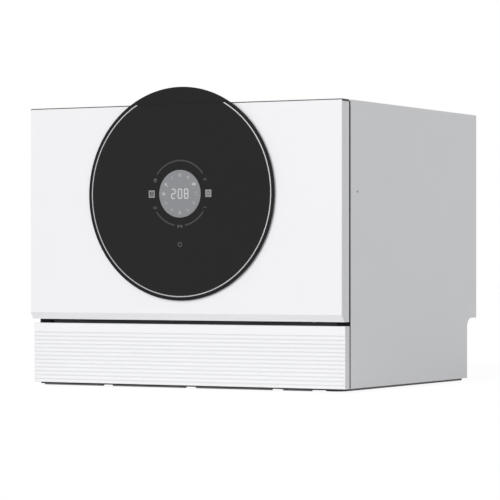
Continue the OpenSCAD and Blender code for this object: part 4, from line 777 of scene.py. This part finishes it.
def wire_piece(name, thickness, runs, material, body, closed=(), tips=False):
    """One piece of round wires: open runs, closed loops, and rounded free ends with tips."""
    curve = bpy.data.curves.new(name, "CURVE")
    curve.dimensions = "3D"
    curve.bevel_depth = thickness / 2
    curve.bevel_resolution = 3
    curve.use_fill_caps = True
    for run, looped in [(run, False) for run in runs] + [(run, True) for run in closed]:
        spline = curve.splines.new("POLY")
        spline.points.add(len(run) - 1)
        for point, spot in zip(spline.points, run):
            point.co = (*spot, 1)
        spline.use_cyclic_u = looped
        if tips:
            for point, radius in zip(list(spline.points)[-4:], (1.0, 0.92, 0.7, 0.3)):
                point.radius = radius
    piece = bpy.data.objects.new(name, curve)
    scene.collection.objects.link(piece)
    curve.materials.append(material)
    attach(piece, body)
    return piece


def spread(first, last, count):
    """Evenly spaced places from first to last."""
    return [first + (last - first) * i / (count - 1) for i in range(count)]


def loop(z, out):
    """A level loop round the basket, with bent corners."""
    x, front, back = rack_x + out, rack_y0 - out, rack_y1 + out
    return bent([Vector((-x, front, z)), Vector((x, front, z)),
                 Vector((x, back, z)), Vector((-x, back, z))], LOOP_BEND, closed=True)


floor_runs = [bent([Vector((x, rack_y0, rack_top)), Vector((x, rack_y0, rack_z)),
                    Vector((x, rack_y1, rack_z)), Vector((x, rack_y1, rack_top))], WALL_BEND)
              for x in spread(-rack_x + FLOOR_INSET, rack_x - FLOOR_INSET, FLOOR_WIRES)]
cross_z = rack_z + 0.7 * WIRE
floor_runs += [bent([Vector((-rack_x, y, rack_top)), Vector((-rack_x, y, cross_z)),
                     Vector((rack_x, y, cross_z)), Vector((rack_x, y, rack_top))], WALL_BEND)
               for y in spread(rack_y0 + CROSS_INSET, rack_y1 - CROSS_INSET, CROSS_WIRES)]
shelf_z = (shelf_low.z + shelf_high.z) / 2
shelf_y = (shelf_low.y + shelf_high.y) / 2
post_y = (shelf_high.y - shelf_low.y) / 2 - 17 * MM
posts = [[Vector((side * rack_x, shelf_y + along, rack_top)),
          Vector((side * rack_x, shelf_y + along, shelf_z - 3.5 * MM))]
         for side in (-1, 1) for along in (-post_y, post_y)]
bands = [loop(low_band, band_out), loop(rack_z + 0.45 * RACK_HEIGHT, band_out)]
basket = wire_piece("rack_wires", WIRE, floor_runs + posts, nylon_coat, "rack", bands)
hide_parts("rack_basket")
wire_piece("rack_rim", RIM_WIRE, [], nylon_coat, "rack", [loop(rack_top, 0)])

# ---- Plate tines ----
# Three rows of tines, welded to a rail each. They lean back a little, and their tips are
# rounded so that they don't scratch.
TINES = 11
TINE_PITCH = 30 * MM
TINE_LEAN = 9 * MM
TINE_ROWS = (1, 3, 5)
TIP_LENGTH = 1.4 * MM
first_tine = -rack_x + 16 * MM
rail_z = tines_low.z + WIRE / 2
tip_z = tines_high.z - WIRE / 2
tine_runs, rails = [], []
for row in TINE_ROWS:
    pitch = (rack_y1 - rack_y0 - 2 * CROSS_INSET) / (CROSS_WIRES - 1)
    y = rack_y0 + CROSS_INSET + (row + 0.5) * pitch
    rails.append([Vector((first_tine - 6 * MM, y, rail_z)),
                  Vector((first_tine + (TINES - 1) * TINE_PITCH + 6 * MM, y, rail_z))])
    for i in range(TINES):
        foot = Vector((first_tine + i * TINE_PITCH, y, rail_z))
        tip = Vector((foot.x, y + TINE_LEAN, tip_z + TIP_LENGTH))
        tine_runs.append([foot] + [foot.lerp(tip, share) for share in (0.975, 0.985, 0.994, 1.0)])
tines = wire_piece("plate_tines", WIRE, tine_runs, nylon_coat, "rack", tips=True)
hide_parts("rack_tines")
wire_piece("tine_rails", WIRE, rails, nylon_coat, "rack")

# ---- Wheel carriers and shelf bearings ----
# Moulded plates that hook over the low band and end in an axle with a retaining collar, and
# bearing blocks on four posts that the cup shelves turn in.
wheel_low, wheel_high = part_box("wheels_front")
axle_z = (wheel_low.z + wheel_high.z) / 2
wheel_out = wheel_high.x
wheel_in = wheel_out - 6 * MM
plate_x = rack_x + band_out + WIRE / 2 + 0.1 * MM
PLATE = 3 * MM
LIP = 2 * MM


def rod_into(bm, start, end, radius, segments=24, rounding=0.0):
    """A round bar between two points, with softened ends."""
    start, end = Vector(start), Vector(end)
    turn = (end - start).to_track_quat("Z", "Y").to_matrix().to_4x4()
    made = bmesh.ops.create_cone(bm, cap_ends=True, segments=segments, radius1=radius,
                                 radius2=radius, depth=(end - start).length,
                                 matrix=Matrix.Translation((start + end) / 2) @ turn)
    if rounding:
        rims = [e for e in edges_at(made["verts"]) if any(len(f.verts) > 4 for f in e.link_faces)]
        bmesh.ops.bevel(bm, geom=rims, offset=rounding, segments=3, affect="EDGES",
                        profile=0.5, material=-1)


def draw_carrier(bm, side, y):
    """A plate with two lips over the low band, two ribs, and the axle with its collar."""
    def block(x0, x1, half, z0, z1, rounding):
        ends = sorted((side * x0, side * x1))
        box_into(bm, (ends[0], y - half, z0), (ends[1], y + half, z1), rounding)

    lip = WIRE / 2 + 0.1 * MM
    block(plate_x, plate_x + PLATE, 16 * MM, axle_z - 7 * MM, low_band + lip + 2.5 * MM, 1 * MM)
    for z in (low_band - lip - LIP, low_band + lip):
        block(rack_x + band_out - lip, plate_x + 1 * MM, 14 * MM, z, z + LIP, 0.5 * MM)
    for along in (-9, 9):
        block(plate_x + PLATE - 0.5 * MM, plate_x + PLATE + 0.8 * MM, 16 * MM - abs(along) * MM,
              axle_z + 6.5 * MM, low_band + 2 * MM, 0.4 * MM)
    rod_into(bm, (side * (plate_x + 1 * MM), y, axle_z),
             (side * (wheel_in - 0.4 * MM), y, axle_z), 5 * MM)
    rod_into(bm, (side * (plate_x + 1 * MM), y, axle_z),
             (side * (wheel_out + 1.9 * MM), y, axle_z), 3 * MM)
    rod_into(bm, (side * (wheel_out + 0.4 * MM), y, axle_z),
             (side * (wheel_out + 1.9 * MM), y, axle_z), 5 * MM, rounding=0.5 * MM)


def draw_carriers(bm):
    for side in (-1, 1):
        for y in (rack_y0 + WHEEL_INSET, rack_y1 - WHEEL_INSET):
            draw_carrier(bm, side, y)
        for along in (-post_y, post_y):
            y = shelf_y + along
            ends = sorted((side * (rack_x - 9 * MM), side * (rack_x + 2 * MM)))
            box_into(bm, (ends[0], y - 4 * MM, shelf_z - 5 * MM),
                     (ends[1], y + 4 * MM, shelf_z + 5 * MM), 1.5 * MM)


solid("rack_carriers", nylon_coat, "rack", draw_carriers)

# ---- Cutlery basket, grip and wheels ----
# Grey moulded pieces: the slotted cutlery basket stands on the floor wires, the grip clips
# over the front rim, and the wheels run on the axles of their carriers.
basket_plastic = surface("basket_plastic", srgb(140, 146, 154), 0.42, shade=0.04)
dress(basket_plastic, "cutlery_basket", "rack_handle")
dress(pale_plastic, "wheels_front", "wheels_rear")

# ---- Cup shelves ----
# Each folds up on a rod along the rack's side: one bent outer wire with cross wires on it,
# welded and dipped as the rack is.
SHELF_REACH = 88 * MM
SHELF_MIDDLE = 48.4 * MM
SHELF_INSET = 34 * MM
SHELF_WIRES = 6
SHELF_BEND = 12 * MM
SHELF_ROD = 5 * MM
for side, name in ((-1, "cup_shelf_left"), (1, "cup_shelf_right")):
    low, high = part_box(name)
    hinge_x = side * (rack_x - 4 * MM)
    free_x = hinge_x - side * SHELF_REACH
    y0, y1 = low.y + 1 * MM, high.y - 1 * MM
    frame_run = bent([Vector((hinge_x, y0 + 0.6 * MM, shelf_z)),
                      Vector((free_x, y0 + 0.6 * MM, shelf_z)),
                      Vector((free_x, y1 - 0.6 * MM, shelf_z)),
                      Vector((hinge_x, y1 - 0.6 * MM, shelf_z))], SHELF_BEND)
    runs = [frame_run]
    runs += [[Vector((free_x, y, shelf_z + 0.9 * MM)), Vector((hinge_x, y, shelf_z + 0.9 * MM))]
             for y in spread(y0 + SHELF_INSET, y1 - SHELF_INSET, SHELF_WIRES)]
    middle = hinge_x - side * SHELF_MIDDLE
    runs.append([Vector((middle, y0, shelf_z)), Vector((middle, y1, shelf_z))])
    shelf = wire_piece(name + "_wires", WIRE, runs, nylon_coat, name)
    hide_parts(name)
    rod = [Vector((hinge_x, y0, shelf_z)), Vector((hinge_x, y1, shelf_z))]
    wire_piece(name + "_rod", SHELF_ROD, [rod], nylon_coat, name)

# ---- Works in the base ----
# The moulded sump and water softener, the pumps with their motors, the through-flow heater,
# the corrugated hose, the inlet valve and the box of electronics, all screwed to the tray.
natural_plastic = surface("natural_plastic", srgb(206, 206, 200), 0.45, shade=0.04)
dress(natural_plastic, "sump", "softener", "air_breaker")
motor_black = surface("motor_black", srgb(52, 54, 58), 0.45, shade=0.08)
dress(motor_black, "wash_pump", "power_box", "drain_spigot")
pump_blue = surface("pump_blue", srgb(62, 84, 122), 0.42, shade=0.06)
dress(pump_blue, "drain_pump")
hose_grey = surface("hose_grey", srgb(120, 120, 122), 0.55, shade=0.05)
dress(hose_grey, "drain_hose")
dress(zinc_steel, "heater")
dress(pale_plastic, "inlet_valve")

# ---- View transform ----
# Colours are shown through the Standard view transform.
scene.view_settings.view_transform = "Standard"
